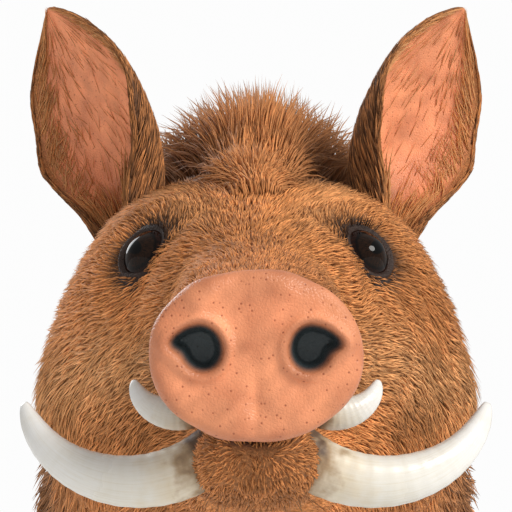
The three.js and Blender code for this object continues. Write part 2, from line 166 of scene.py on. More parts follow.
JAW = {
    "top": curve([34, 596], [85, 607], [125, 614], [165, 618], [220, 622], [330, 625]),
    "under": curve(
        [34, 574], [48, 566], [88, 560], [130, 560], [170, 558], [211, 556], [252, 551], [330, 546]),
    "half": curve([34, 19], [48, 27], [88, 33], [130, 37], [170, 44], [211, 54], [252, 68], [330, 86]),
    "ends": (34.0, 330.0),
    "blend": curve([60, 4], [120, 5], [165, 12], [215, 34], [330, 60]),  # how softly it joins the head
}

# Swellings on the flesh: centre, reach in each direction, and height.
MASSES = np.array([
    [92, 268, 690, 60, 55, 26, 7],  # cheekbone
    [120, 325, 632, 70, 75, 60, 23],  # jowl
    [62, 216, 747, 24, 34, 16, 8],  # brow
    [70, 206, 715, 20, 22, 15, -7],  # eye socket
    [56, 160, 678, 20, 34, 22, -4],  # hollow before the eye
    [44, 84, 622, 18, 26, 20, 5],  # root of the tusk
    [160, 655, 690, 80, 90, 130, 10],  # shoulder blade
    [172, 1100, 545, 70, 65, 110, -10],  # flank hollow
    [130, 1235, 640, 80, 105, 90, 9],  # rump muscle
], float)

# How far the skin lies inside the tips of the coat.
BODY_COAT = curve([0, 1.2], [30, 2.5], [70, 3.2], [130, 4], [200, 4.5], [260, 7], [330, 12], [430, 16],
                  [600, 17], [900, 17], [1200, 15], [1400, 11])
LEG_COAT = curve([40, 2.5], [100, 3.5], [250, 4.5], [370, 8], [470, 13], [640, 15])
DISC_COAT = 0.6
TAIL_COAT = 4.0
FOLDED_TO = 330.0  # folds, nostrils and lids are pressed into the skin as far back as this

DISC = {"half_width": 46.0, "half_height": 37.0, "ahead": 6.0, "height": 621.0, "depth": 20.0}
DISC_TILT = math.radians(12.0)
DISC_INWARD = np.array([0, math.cos(DISC_TILT), math.sin(DISC_TILT)])
DISC_UP = np.array([0, -math.sin(DISC_TILT), math.cos(DISC_TILT)])
DISC_REACH = 60.0  # the disc's colours and nostrils lie ahead of this
disc_share = curve([0, 0.8], [2, 0.93], [6, 1], [11, 0.97], [17, 0.8], [20, 0.6])
NOSTRIL = {"x": 23.0, "z": 3.0, "half_width": 9.5, "half_height": 10.5, "depth": 13.0}
NOSTRIL_LEAN = math.radians(18)  # each leans outwards at the top

FORELEG = {
    "station": 673.0, "top": 640.0,
    "splay": curve([42, 92], [160, 94], [285, 97], [380, 100], [480, 104], [640, 100]),
    "back": curve([42, -16], [65, -8], [92, 2], [120, 3], [160, 1], [205, -2], [240, -5], [285, -3],
                  [330, 1], [380, 6], [430, 12], [480, 10], [540, 0], [640, 4]),
    "half_long": curve([42, 27], [65, 26], [92, 27], [120, 23], [160, 23], [205, 27], [240, 33],
                       [285, 35], [330, 41], [380, 50], [430, 68], [480, 84], [540, 94], [600, 86],
                       [640, 60]),
    "half_wide": curve([42, 27], [65, 25], [92, 25], [120, 20], [160, 20], [205, 24], [240, 29],
                       [285, 29], [330, 33], [380, 40], [430, 51], [480, 60], [540, 70], [600, 74],
                       [640, 50]),
}
HIND_LEG = {
    "station": 1243.0, "top": 680.0,
    "splay": curve([42, 92], [180, 91], [262, 89], [340, 86], [440, 84], [560, 86], [680, 80]),
    "back": curve([42, 33], [68, 42], [95, 53], [135, 62], [180, 70], [225, 78], [262, 82], [300, 70],
                  [340, 48], [390, 18], [440, -8], [500, -18], [560, -8], [620, 0], [680, -5]),
    "half_long": curve([42, 27], [68, 26], [95, 27], [135, 23], [180, 24], [225, 29], [262, 39],
                       [300, 43], [340, 52], [390, 71], [440, 96], [500, 122], [560, 130], [620, 118],
                       [680, 70]),
    "half_wide": curve([42, 27], [68, 25], [95, 25], [135, 20], [180, 20], [225, 23], [262, 28],
                       [300, 30], [340, 36], [390, 46], [440, 56], [500, 68], [560, 75], [620, 72],
                       [680, 48]),
}
LEGS = {  # name: (leg, side, how far the foot stands back of square)
    "fore_left": (FORELEG, 1, -24.0), "fore_right": (FORELEG, -1, 18.0),
    "hind_left": (HIND_LEG, 1, 20.0), "hind_right": (HIND_LEG, -1, -22.0),
}
FOOT = 44.0  # the flesh ends here, inside the hoof
HOOF_LEVEL = 46.0  # the hoof stands under the middle of the leg at this height

TAIL_STOPS = np.array([[0, 1360, 664], [0, 1396, 642], [4, 1415, 595], [10, 1420, 535], [14, 1418, 475],
                       [16, 1412, 420]], float)
tail_radius = curve([0, 17], [0.25, 14], [0.6, 11], [0.75, 13], [0.9, 13], [1, 5])


def through(stops, count):
    """Points along a smooth line through the stops, each slope taken from the neighbours."""
    at = np.linspace(0, len(stops) - 1, count)
    return np.stack([curve(*enumerate(axis))(at) for axis in stops.T], -1)


TAIL_LINE = through(TAIL_STOPS, 49)
TAIL_LONG = np.linalg.norm(np.diff(TAIL_LINE, axis=0), axis=-1).sum()


# ---------------------------------------------------------------- distance to the skin
def oval(x, up, half, above, below, square_above, square_below):
    """Distance from a squared oval, along the ray from its middle: q (1 - 1/r), where q is the distance
    from the middle and r the point's share of the way out, by the power of the squareness."""
    top = up >= 0
    reach = np.maximum(np.where(top, above, below), 2.0)
    power = np.where(top, square_above, square_below)
    share = ((np.abs(x) / half) ** power + (np.abs(up) / reach) ** power) ** (1 / power)
    return np.hypot(x, up) * (1 - 1 / np.maximum(share, 1e-4))


def coat_depth(p):
    """How far the skin of head and body lies inside the coat: by distance back, thinner round the eyes."""
    q = left_half(p) - EYE_MIDDLE
    return BODY_COAT(p[:, 1]) * (1 - 0.85 * np.exp(-(q**2).sum(-1) / 33**2))


def swell(p):
    """How far the swellings raise the flesh: each one a rounded bump about its centre."""
    q = left_half(p)
    rise = np.zeros(len(p))
    for mass in MASSES:
        rise += mass[6] * np.exp(-(((q - mass[:3]) / mass[3:6]) ** 2).sum(-1))
    return rise


def trunk_distance(p):
    """Distance from the trunk, neck and head: an upright oval at each distance back, closed at both ends."""
    x, y, z = p.T
    level = widest_level(y)
    d = oval(x, z - level, half_width(y), top_line(y) - level, level - under_line(y), top_square(y),
             under_square(y))
    d = blend_max(d, MUZZLE_END - y, 6)
    return blend_max(d, y - RUMP_END, 8) - swell(p) + coat_depth(p)


def jaw_distance(p):
    """Distance from the lower jaw: an upright oval at each distance back."""
    x, y, z = p.T
    top, under = JAW["top"](y), JAW["under"](y)
    d = oval(x, z - (top + under) / 2, JAW["half"](y), (top - under) / 2, (top - under) / 2, 2.4, 2.2)
    d = blend_max(d, JAW["ends"][0] - y, 14)
    return blend_max(d, y - JAW["ends"][1], 20) + BODY_COAT(y)


def to_disc(p):
    """Points in the snout disc's own place: x across, y into the muzzle, z up the disc."""
    _, cosine, sine = DISC_INWARD
    y, z = p[:, 1] + DISC["ahead"], p[:, 2] - DISC["height"]
    return xyz(p[:, 0], y * cosine + z * sine, z * cosine - y * sine)


def disc_distance(p):
    """Distance from the snout disc: an oval whose size follows its profile, closed front and back."""
    x, into, up = to_disc(p).T
    share = disc_share(into)
    half_height = DISC["half_height"] * share
    d = oval(x, up, DISC["half_width"] * share, half_height, half_height, 2.1, 2.1)
    d = blend_max(d, -into, 3)
    return blend_max(d, into - DISC["depth"], 3) + DISC_COAT


def swing(height):
    """A foot's share of its stance at a height: all of it below the knee, none at the shoulder or hip."""
    return 1 - ramp(230, 540, height)


def leg_middle(name, z):
    """The middle of a leg at a height."""
    leg, side, shift = LEGS[name]
    return side * leg["splay"](z), leg["station"] + leg["back"](z) + shift * swing(z)


def leg_distance(p, name):
    """Distance from one leg: a level oval at each height, closed at the foot and inside the body."""
    leg = LEGS[name][0]
    x, y, z = p.T
    cx, cy = leg_middle(name, z)
    share = np.hypot((x - cx) / leg["half_wide"](z), (y - cy) / leg["half_long"](z))
    d = np.hypot(x - cx, y - cy) * (1 - 1 / np.maximum(share, 1e-4))
    d = blend_max(d, z - leg["top"], 30)
    return blend_max(d, FOOT - z, 3) + LEG_COAT(z)


def tail_distance(p):
    """Distance from the tail: the nearest point of its line, less its radius there."""
    gap = np.linalg.norm(p[:, None] - TAIL_LINE[None], axis=-1)
    near = gap.argmin(-1)
    return gap.min(-1) - tail_radius(near / (len(TAIL_LINE) - 1)) + TAIL_COAT


BEYOND = 900.0  # stands for the distance from a part where it is not near


def skin_distance(p):
    """Distance from the whole skin: the parts' distances, blended softly where they join."""
    x, y, z = p.T
    jaw = measured(p, (y < 400) & (z < 700), jaw_distance, BEYOND)
    d = blend_min(trunk_distance(p), jaw, JAW["blend"](y))
    d = blend_min(d, measured(p, y < 50, disc_distance, BEYOND), 8.0)
    for name, (leg, side, _) in LEGS.items():
        near = (x * side > -60) & (np.abs(y - leg["station"]) < 260) & (z < leg["top"] + 70)
        d = blend_min(d, measured(p, near, lambda q: leg_distance(q, name), BEYOND), 46.0)
    return blend_min(d, measured(p, y > 1310, tail_distance, BEYOND), 16.0)


CORNERS = np.array([[1, -1, -1], [-1, -1, 1], [-1, 1, -1], [1, 1, 1]], float)


def distance_and_slope(p, distance=skin_distance, step=0.6):
    """The distance and its slope, from its values at four corners of a small cube round each point."""
    value = distance((p[None] + step * CORNERS[:, None]).reshape(-1, 3)).reshape(4, -1)
    return value.mean(0), (CORNERS.T @ value).T / (4 * step)


def settle(p, rounds):
    """Points moved onto the skin by Newton steps along the slope, each at most 4 mm."""
    for _ in range(rounds):
        d, slope = distance_and_slope(p)
        p = p - slope * (np.clip(d, -4, 4) / np.maximum((slope**2).sum(-1), 0.3))[:, None]
    return p


# ---------------------------------------------------------------- meshes from arrays
def new_object(name, points, *faces, smooth=True):
    """An object at the origin from points in millimetres and arrays of triangles or quads."""
    mesh = bpy.data.meshes.new(name)
    place = (points + np.array([0, SHIFT, 0])) * MM
    mesh.vertices.add(len(place))
    mesh.vertices.foreach_set("co", place.astype(np.float32).ravel())
    corners = np.concatenate([f.ravel() for f in faces])
    sizes = np.concatenate([np.full(len(f), f.shape[1]) for f in faces])
    mesh.loops.add(len(corners))
    mesh.loops.foreach_set("vertex_index", corners.astype(np.int32))
    mesh.polygons.add(len(sizes))
    mesh.polygons.foreach_set("loop_start", np.concatenate([[0], np.cumsum(sizes)[:-1]]).astype(np.int32))
    mesh.update(calc_edges=True)
    mesh.polygons.foreach_set("use_smooth", np.full(len(sizes), smooth))
    made = bpy.data.objects.new(name, mesh)
    bpy.context.scene.collection.objects.link(made)
    return made


def read_mesh(mesh):
    """A mesh's points in millimetres on the animal, and its triangles."""
    mesh.calc_loop_triangles()
    place = np.empty(len(mesh.vertices) * 3, np.float32)
    mesh.vertices.foreach_get("co", place)
    faces = np.empty(len(mesh.loop_triangles) * 3, np.int32)
    mesh.loop_triangles.foreach_get("vertices", faces)
    return place.reshape(-1, 3).astype(float) / MM - np.array([0, SHIFT, 0]), faces.reshape(-1, 3)


def sleeve(rows, sides):
    """Quads between neighbouring rings, for points numbered ring by ring."""
    start, side = np.meshgrid(np.arange(rows - 1) * sides, np.arange(sides), indexing="ij")
    low, low_next = start + side, start + (side + 1) % sides
    return np.stack([low, low_next, low_next + sides, low + sides], -1).reshape(-1, 4)


def tube(rings):
    """Quads and end fans over rings of points, an array of rows, sides and 3: a closed body."""
    rows, sides, _ = rings.shape
    points = np.concatenate([rings.reshape(-1, 3), rings[:1].mean(1), rings[-1:].mean(1)])
    side = np.arange(sides)
    first, last = rows * sides, (rows - 1) * sides
    ends = np.concatenate([
        np.stack([np.full(sides, first), (side + 1) % sides, side], -1),
        np.stack([np.full(sides, first + 1), last + side, last + (side + 1) % sides], -1)])
    return points, sleeve(rows, sides), ends


def ring_of(middle, one_way, other_way, sides, power=1.0):
    """Rings about middles (rows, 3): cos and sin of the turn along two vectors (rows, 3), each raised to
    a power that squares the ring."""
    turn = np.linspace(0, FULL_TURN, sides, endpoint=False)
    c, s = powered(np.cos(turn), power), powered(np.sin(turn), power)
    return middle[:, None] + one_way[:, None] * c[None, :, None] + other_way[:, None] * s[None, :, None]


def join(*bodies):
    """Several (points, quads, triangles) as one."""
    points, quads, ends, start = [], [], [], 0
    for body_points, body_quads, body_ends in bodies:
        points.append(body_points)
        quads.append(body_quads + start)
        ends.append(body_ends + start)
        start += len(body_points)
    return np.concatenate(points), np.concatenate(quads), np.concatenate(ends)


# ---------------------------------------------------------------- the skin
def rough_flesh():
    """Plain tubes through the parts' measures, from which the skin's mesh is grown."""

    def along(axis, values):
        """Vectors of the given lengths along an axis: 0 across, 1 back, 2 up."""
        return np.eye(3)[axis] * np.asarray(values, float)[:, None]

    y = np.linspace(MUZZLE_END + 2, RUMP_END - 6, 110)
    top, under = top_line(y) - BODY_COAT(y), under_line(y) + BODY_COAT(y)
    middle = xyz(0, y, (top + under) / 2)
    trunk = ring_of(middle, along(0, half_width(y) - BODY_COAT(y)), along(2, (top - under) / 2), 48, 0.85)
    y = np.linspace(JAW["ends"][0] + 3, JAW["ends"][1], 40)
    top, under = JAW["top"](y), JAW["under"](y) + 3
    middle = xyz(0, y, (top + under) / 2)
    jaw = ring_of(middle, along(0, JAW["half"](y) - 2), along(2, (top - under) / 2), 24)
    into = np.linspace(0, DISC["depth"] - 2, 8)
    share = disc_share(into) * 0.97
    middle = into[:, None] * DISC_INWARD + [0, -DISC["ahead"], DISC["height"]]
    up = DISC_UP * (DISC["half_height"] * share)[:, None]
    disc = ring_of(middle, along(0, DISC["half_width"] * share), up, 40)
    limbs = []
    for name, (leg, _, _) in LEGS.items():
        z = np.linspace(FOOT, leg["top"] - 10, 60)
        cx, cy = leg_middle(name, z)
        limbs.append(ring_of(xyz(cx, cy, z), along(0, leg["half_wide"](z) - LEG_COAT(z)),
                             along(1, leg["half_long"](z) - LEG_COAT(z)), 24))
    way = unit(np.gradient(TAIL_LINE, axis=0))
    side = np.tile([1.0, 0, 0], (len(way), 1))
    radius = (tail_radius(np.linspace(0, 1, len(way))) - TAIL_COAT)[:, None]
    tail = ring_of(TAIL_LINE, side * radius, unit(np.cross(way, side)) * radius, 12)
    return [tube(rings) for rings in (trunk, jaw, disc, *limbs, tail)]


def remeshed(points, quads, ends, voxel):
    """The bodies fused into one closed mesh of even squares."""
    rough = new_object("rough", points, quads, ends)
    fuse = rough.modifiers.new("fuse", "REMESH")
    fuse.mode = "VOXEL"
    fuse.voxel_size = voxel * MM
    fused = rough.evaluated_get(bpy.context.evaluated_depsgraph_get()).to_mesh()
    result = read_mesh(fused)
    bpy.data.objects.remove(rough)
    return result


def eased(points, faces, share):
    """Each point moved a share of the way to the mean of its neighbours."""
    ends = np.concatenate([faces[:, [0, 1]], faces[:, [1, 2]], faces[:, [2, 0]]])
    count = np.bincount(ends[:, 0], minlength=len(points))
    mean = np.stack([np.bincount(ends[:, 0], points[ends[:, 1], k], len(points)) for k in range(3)], -1)
    return points + share * (mean / np.maximum(count, 1)[:, None] - points)


# By how many of a triangle's edges are cut: the triangles made of its corners, 0 to 2, and its cuts, 3 to 5.
SPLITS = {0: [[0, 1, 2]], 1: [[0, 3, 2], [3, 1, 2]], 2: [[5, 4, 2], [0, 1, 4], [0, 4, 5]],
          3: [[0, 3, 5], [3, 1, 4], [5, 4, 2], [3, 4, 5]]}


def refined(points, faces, place, wanted):
    """Triangles split where an edge is longer than wanted: a new point at the middle of each such edge,
    and 2, 3 or 4 triangles for a triangle with 1, 2 or 3 of them. place gives the edges' true ends."""
    corner = np.stack([faces, np.roll(faces, -1, 1)], -1)  # face, edge, its two ends
    key = corner.min(-1).astype(np.int64) * len(points) + corner.max(-1)
    edges, which = np.unique(key, return_inverse=True)
    a, b = edges // len(points), edges % len(points)
    middle = (points[a] + points[b]) / 2
    split = np.linalg.norm(place[a] - place[b], axis=-1) > wanted(middle)
    number = np.where(split, len(points) + np.cumsum(split) - 1, -1)
    cut = number[which].reshape(-1, 3)
    count = (cut >= 0).sum(1)
    turn = np.where(count == 1, (cut >= 0).argmax(1), np.where(count == 2, (cut < 0).argmax(1), 0))
    order = (np.arange(3)[None] + turn[:, None]) % 3
    known = np.concatenate([np.take_along_axis(ends, order, 1) for ends in (faces, cut)], 1)
    made = [known[count == cuts][:, new] for cuts, triangles in SPLITS.items() for new in triangles]
    return np.concatenate([points, middle[split]]), np.concatenate(made).astype(np.int64)


# ---------------------------------------------------------------- eyes and lids
GAZE = unit(np.array([0.60, -0.74, 0.30]))
NOSEWARD = np.array([-0.25, -1.0, -0.42])  # the way its front corner points, set square to its gaze
NOSEWARD = unit(NOSEWARD - GAZE * (NOSEWARD @ GAZE))
LIDWARD = np.cross(NOSEWARD, GAZE)
OPENING = {"half": 18.6, "above": 18.8, "below": 16.8}
LID = {"thick": 2.2, "tuck": 2.6, "reach": 20.0}


def own_eye(p):
    """The middle of the eye on each point's side."""
    return EYE_MIDDLE * xyz(np.sign(p[:, 0] + 1e-9), 1, 1)


def from_eye(p):
    """Distance from the middle of the eye on each point's side."""
    return np.linalg.norm(left_half(p) - EYE_MIDDLE, axis=-1)


def round_eye(p):
    """Points seen from the eye of their side: distance from its middle, millimetres along its ball towards
    the nose and up, and the turn away from its gaze."""
    q = left_half(p) - EYE_MIDDLE
    far = np.linalg.norm(q, axis=-1)
    out = q / np.maximum(far, 1e-6)[:, None]
    turn = np.arccos(np.clip(out @ GAZE, -1, 1))
    along = EYE["radius"] * turn / np.maximum(np.sin(turn), 1e-6)
    return far, along * (out @ NOSEWARD), along * (out @ LIDWARD), turn


def lid_gap(p):
    """Millimetres outside the eye's opening, along the ball and, at about half the rate, away from it;
    negative inside it. Its corner by the nose lies a little lower than the other."""
    far, nose, up, turn = round_eye(p)
    up = up + 0.012 * nose * np.abs(nose)
    gap = oval(nose, up, OPENING["half"], OPENING["above"], OPENING["below"], 1.75, 1.75)
    gap = gap + 0.55 * np.maximum(far - 26, 0)
    return np.where((far < 75) & (turn < 1.9), gap, FAR)


def with_lids(p):
    """The skin round each eye drawn in to its ball: tucked behind it inside the opening, a rounded lid
    at the edge, a crease and soft folds beyond, and back to the face further out."""
    far, nose, up, _ = round_eye(p)
    gap = lid_gap(p)
    lid = EYE["radius"] - LID["tuck"] + (LID["tuck"] + LID["thick"]) * ramp(-1.4, 0.9, gap)
    upper = ramp(-3, 5, up)
    lid = lid - 1.1 * hill(gap, 5.2 - 0.8 * upper, 1.1) * (0.45 + 0.55 * upper)
    lid = lid + 0.7 * hill(gap, 7.2, 1.3) * upper - 0.7 * hill(gap, 9.4, 1.0)
    share = ramp(4.0, LID["reach"], gap)
    wanted = lid * (1 - share) + far * share
    fine = 0.35 * np.sin(gap * 1.9 + 0.35 * nose) * ramp(2, 5, gap) * (1 - ramp(11, 17, gap))
    wanted = np.where(gap < 50, wanted + fine, far)
    middle = own_eye(p)
    moved = middle + (p - middle) * (wanted / np.maximum(far, 1e-6))[:, None]
    return np.where((gap < LID["reach"])[:, None], moved, p)


# ---------------------------------------------------------------- snout, nostrils and lips
def nostril_gap(p):
    """Millimetres outside the nearer nostril on the disc's face; negative inside."""
    x, _, up = to_disc(p).T
    dx, dz = np.abs(x) - NOSTRIL["x"], up - NOSTRIL["z"]
    cosine, sine = math.cos(NOSTRIL_LEAN), math.sin(NOSTRIL_LEAN)
    across, along = dx * cosine - dz * sine, dx * sine + dz * cosine
    gap = oval(across, along, NOSTRIL["half_width"], NOSTRIL["half_height"], NOSTRIL["half_height"], 2.1, 2.0)
    comma = np.hypot((across - 6.5) * 0.8, (along - 5.5) * 1.5) - 4.6  # its drawn-out upper corner
    return blend_min(gap, comma, 8.0)


def with_nostrils(p):
    """The disc's face pressed in at the nostrils, each with a soft raised rim, and a groove down the
    middle of the disc to the lip."""
    x, into, up = to_disc(p).T
    face = 1 - ramp(5, 9, into)
    gap = nostril_gap(p)
    press = NOSTRIL["depth"] * (1 - ramp(-4.5, 0.6, gap)) - 1.3 * hill(gap, 2.6, 2.0)
    reach = np.hypot(x / DISC["half_width"], up / DISC["half_height"])
    press += 1.3 * hill(reach, 0.45, 0.35) * ramp(1, 5, gap)
    press += 1.0 * hill(x, 0, 2.2) * (1 - ramp(-16, 2, up))
    press += 0.5 * wobble(p, 17, 5) * ramp(0, 4, gap)
    return p + DISC_INWARD * (press * face)[:, None]


def mouth_gap(p):
    """How far a point is from the line where the lips meet, between muzzle and lower jaw."""
    near = (p[:, 1] > 20) & (p[:, 1] < 215) & (p[:, 2] < 640)
    return measured(p, near, lambda q: np.abs(trunk_distance(q) - jaw_distance(q))
                    + FAR * ramp(150, 185, q[:, 1]), FAR)


def with_folds(p, normal):
    """Fine folds pressed into the bare and short-haired skin: rings behind the snout disc, a rolled lip
    along the mouth, and soft creases over the muzzle."""
    x, y, _ = p.T
    high = ramp(-0.1, 0.6, normal[:, 2])
    rings = np.cos((y - 5 * np.cos(x / 17) + 3 * wobble(p, 60, 9)) * FULL_TURN / 13.5)
    rings = rings * (1 - ramp(40, 100, y)) * ramp(17, 25, y) * (0.65 + 0.35 * wobble(p, 45, 11))
    press = 0.7 * rings * (0.25 + 0.75 * high)
    gap = mouth_gap(p)
    press += 1.5 * hill(gap, 0, 2.2) - 0.9 * hill(gap, 7.0, 3.0)
    press += 0.5 * wobble(p, 26, 3) * (1 - ramp(200, 300, y))
    return p - normal * press[:, None]


def wanted_edge(p):
    """The longest edge wanted at a point of the skin: fine at the eyes, nostrils and lips."""
    size = np.interp(p[:, 1], [0, 60, 130, 210, 300, 400, 470], [2.62, 3.05, 3.6, 4.6, 6.6, 9.8, 18.5])
    size = np.minimum(size, np.interp(from_eye(p), [22, 30, 48, 60], [1.1, 1.9, 3.8, 18]))
    nostrils = measured(p, p[:, 1] < 30, nostril_gap, FAR)
    size = np.minimum(size, np.interp(nostrils, [1, 4, 10, 14, 15], [1.0, 1.4, 2.2, 18, 18.5]))
    return np.minimum(size, np.interp(mouth_gap(p), [3, 9, 14], [1.6, 3.2, 18]))


def pressed(p, normal):
    """Points of the settled skin moved with the folds, nostrils and lids of the face."""
    near = p[:, 1] < FOLDED_TO
    moved = p.copy()
    if near.any():
        moved[near] = with_lids(with_nostrils(with_folds(p[near], normal[near])))
    return moved


def shaped(p):
    """The settled skin with its folds, nostrils and lids."""
    return pressed(p, unit(distance_and_slope(p)[1]))


def skin_mesh():
    """The skin: rough flesh fused into one mesh, settled, and refined towards the face."""
    points, faces = remeshed(*join(*rough_flesh()), voxel=9.0)
    points = settle(eased(settle(points, 5), faces, 0.5), 4)
    for _ in range(5):
        points, faces = refined(points, faces, shaped(points), wanted_edge)
        points = settle(eased(points, faces, 0.25), 2)
    return points, faces, shaped(points)


# ---------------------------------------------------------------- ears
EAR_BASE, EAR_TIP = np.array([98.0, 336, 755]), np.array([143.0, 348, 917])
EAR_LONG = np.linalg.norm(EAR_TIP - EAR_BASE)
EAR_AXIS = (EAR_TIP - EAR_BASE) / EAR_LONG
EAR_FACE = np.array([0.78, -0.62, 0.1])  # the way its hollow looks, set square to its axis
EAR_FACE = unit(EAR_FACE - EAR_AXIS * (EAR_FACE @ EAR_AXIS))
EAR_ACROSS = np.cross(EAR_AXIS, EAR_FACE)
EAR_BOW = 14.0  # how far the middle of its length is bent back
EAR_COAT = 2.0
ear_arc = curve([0, 54], [0.15, 67], [0.3, 76], [0.45, 77], [0.65, 65], [0.85, 38], [0.95, 18], [1, 5])
ear_roll = curve([0, 2.3], [0.15, 1.95], [0.3, 1.5], [0.6, 1.05], [1, 0.8])
ear_thick = curve([0, 8], [0.3, 5], [0.6, 2.8], [1, 1.8])


def ear_place(v, turn, depth, side=1):
    """Points on an ear: v along its axis, turn round its roll from -1 at one rim to 1 at the other, on an
    arc whose radius is the arc's half length over the roll, less the coat and the depth inside its back."""
    outer = ear_arc(v) / ear_roll(v)
    angle = turn * (ear_roll(v) - EAR_COAT / outer)
    radius = outer - EAR_COAT - depth
    out = outer * np.cos(ear_roll(v)) - radius * np.cos(angle) - EAR_BOW * v * (1 - v)
    place = (EAR_BASE + EAR_AXIS * (v * EAR_LONG)[..., None]
             + EAR_ACROSS * (radius * np.sin(angle))[..., None] + EAR_FACE * out[..., None])
    return place * np.array([side, 1, 1])


def ear_depth(v, turn):
    """How deep the hollow lies inside the ear's back: its thickness, thinner at the rims, with three long
    ridges of gristle that fade towards the tip."""
    thick = ear_thick(v) * (1 - 0.3 * turn**2)
    ridges = np.cos(turn * 8.5 + 1.2 * v) * hill(v, 0.38, 0.26) * (1 - turn**2)
    waves = 0.5 * np.sin(23 * v + 3 * turn)
    return thick + 1.5 * ridges + 0.35 * waves * (1 - turn**2)


def ear_where(p):
    """For points near an ear: v, turn and depth by which ear_place gives them."""
    q = left_half(p) - EAR_BASE
    v = q @ EAR_AXIS / EAR_LONG
    outer = ear_arc(v) / ear_roll(v)
    back = outer * np.cos(ear_roll(v)) - EAR_BOW * v * (1 - v) - q @ EAR_FACE
    across = q @ EAR_ACROSS
    turn = np.arctan2(across, back) / (ear_roll(v) - EAR_COAT / outer)
    return v, turn, outer - EAR_COAT - np.hypot(across, back)


def ear_wave(v):
    """The turn at which an ear's rim lies, v along it: 1, with slow waves that start above the base."""
    return 1 + 0.03 * np.sin(17 * v + 1.0) * ramp(0.1, 0.4, v)


def by_ears(p):
    """Which points are in the room that the ears take up."""
    return (p[:, 1] > 250) & (p[:, 1] < 420) & (p[:, 2] > 690)


def ear_shell(side):
    """One ear as a closed body: up its back from rim to rim, over each rounded rim and down the hollow."""
    v = np.linspace(-0.09, 1, 84)[:, None]
    turn = np.linspace(-1, 1, 38)[None]
    wave = ear_wave(v)
    back = ear_place(v + 0 * turn, turn * wave, 0.45 * np.sin(9 * turn + 14 * v), side)
    hollow = ear_place(v + 0 * turn, turn * wave, ear_depth(v, turn), side)[:, ::-1]
    rim = [ear_place(v, end * (wave + 0.03), ear_thick(v) * 0.36, side) for end in (1.0, -1.0)]
    rings = np.concatenate([back, rim[0], hollow, rim[1]], 1)
    return outward(*tube(rings))


def outward(points, quads, ends):
    """A closed body with its faces turned to point out, by the sign of its volume."""
    faces = np.concatenate([quads[:, [0, 1, 2]], quads[:, [0, 2, 3]], ends])
    a, b, c = points[faces[:, 0]], points[faces[:, 1]], points[faces[:, 2]]
    if (a * np.cross(b, c)).sum() < 0:
        return points, quads[:, ::-1], ends[:, ::-1]
    return points, quads, ends


def rows_in(rows, others):
    """Which rows of points are also among the others, to a thousandth of a millimetre."""
    keys = [np.ascontiguousarray(np.round(p, 3) + 0.0).view("V24").ravel() for p in (rows, others)]
    return np.isin(*keys)


def with_ears(points, faces):
    """The skin and the two ears fused into one closed mesh, the crease where they meet smoothed out."""
    body = new_object("flesh", points, faces)
    shells = [new_object("shell", *ear_shell(side)) for side in SIDES]
    for shell in shells:
        fuse = body.modifiers.new("fuse", "BOOLEAN")
        fuse.operation, fuse.solver, fuse.object = "UNION", "MANIFOLD", shell
    parts = [read_mesh(made.data)[0] for made in (body, *shells)]
    points, faces = read_mesh(body.evaluated_get(bpy.context.evaluated_depsgraph_get()).to_mesh())
    for made in (body, *shells):
        bpy.data.objects.remove(made)
    crease = points[~rows_in(points, np.concatenate(parts))]
    close = by_ears(points) & (points[:, 2] < 860)
    share = np.zeros(len(points))
    gap = np.linalg.norm(points[close][:, None] - crease[None, ::2], axis=-1).min(1)
    share[close] = 1 - ramp(3, 13, gap)
    for _ in range(10):
        points = mix(points, eased(points, faces, 1.0), 0.5 * share)
    return points, faces


# ---------------------------------------------------------------- colours
PALETTE = {  # light in red, green and blue, before the lamps
    "face": (0.74, 0.300, 0.100), "muzzle": (0.50, 0.195, 0.075), "trunk": (0.33, 0.150, 0.064),
    "back": (0.10, 0.050, 0.026), "pale": (0.78, 0.44, 0.20), "belly": (0.17, 0.088, 0.045),
    "leg": (0.040, 0.025, 0.019), "black": (0.014, 0.010, 0.009), "ear": (0.15, 0.068, 0.032),
    "rose": (0.78, 0.295, 0.145), "slate": (0.046, 0.062, 0.068), "lip": (0.11, 0.045, 0.035),
    "lid": (0.030, 0.014, 0.009), "mane": (0.060, 0.032, 0.019), "straw": (0.62, 0.38, 0.19),
}
PALETTE = {name: np.array(value) for name, value in PALETTE.items()}


def leg_share(p):
    """1 on a leg, 0 on the body, by which of the two is nearer."""
    trunk = trunk_distance(p)
    share = np.zeros(len(p))
    for name, (leg, side, _) in LEGS.items():
        near = (p[:, 0] * side > 0) & (np.abs(p[:, 1] - leg["station"]) < 190) & (p[:, 2] < leg["top"])
        if near.any():
            gap = trunk[near] - leg_distance(p[near], name)
            share[near] = np.maximum(share[near], ramp(-6, 30, gap) * (1 - ramp(430, 590, p[near, 2])))
    return share


def to_segment(p, start, end):
    """Distance from a straight line between two places, the same on both sides of the animal."""
    q = left_half(p) - start
    way = np.array(end, float) - start
    t = np.clip(q @ way / (way @ way), 0, 1)
    return np.linalg.norm(q - t[:, None] * way, axis=-1)


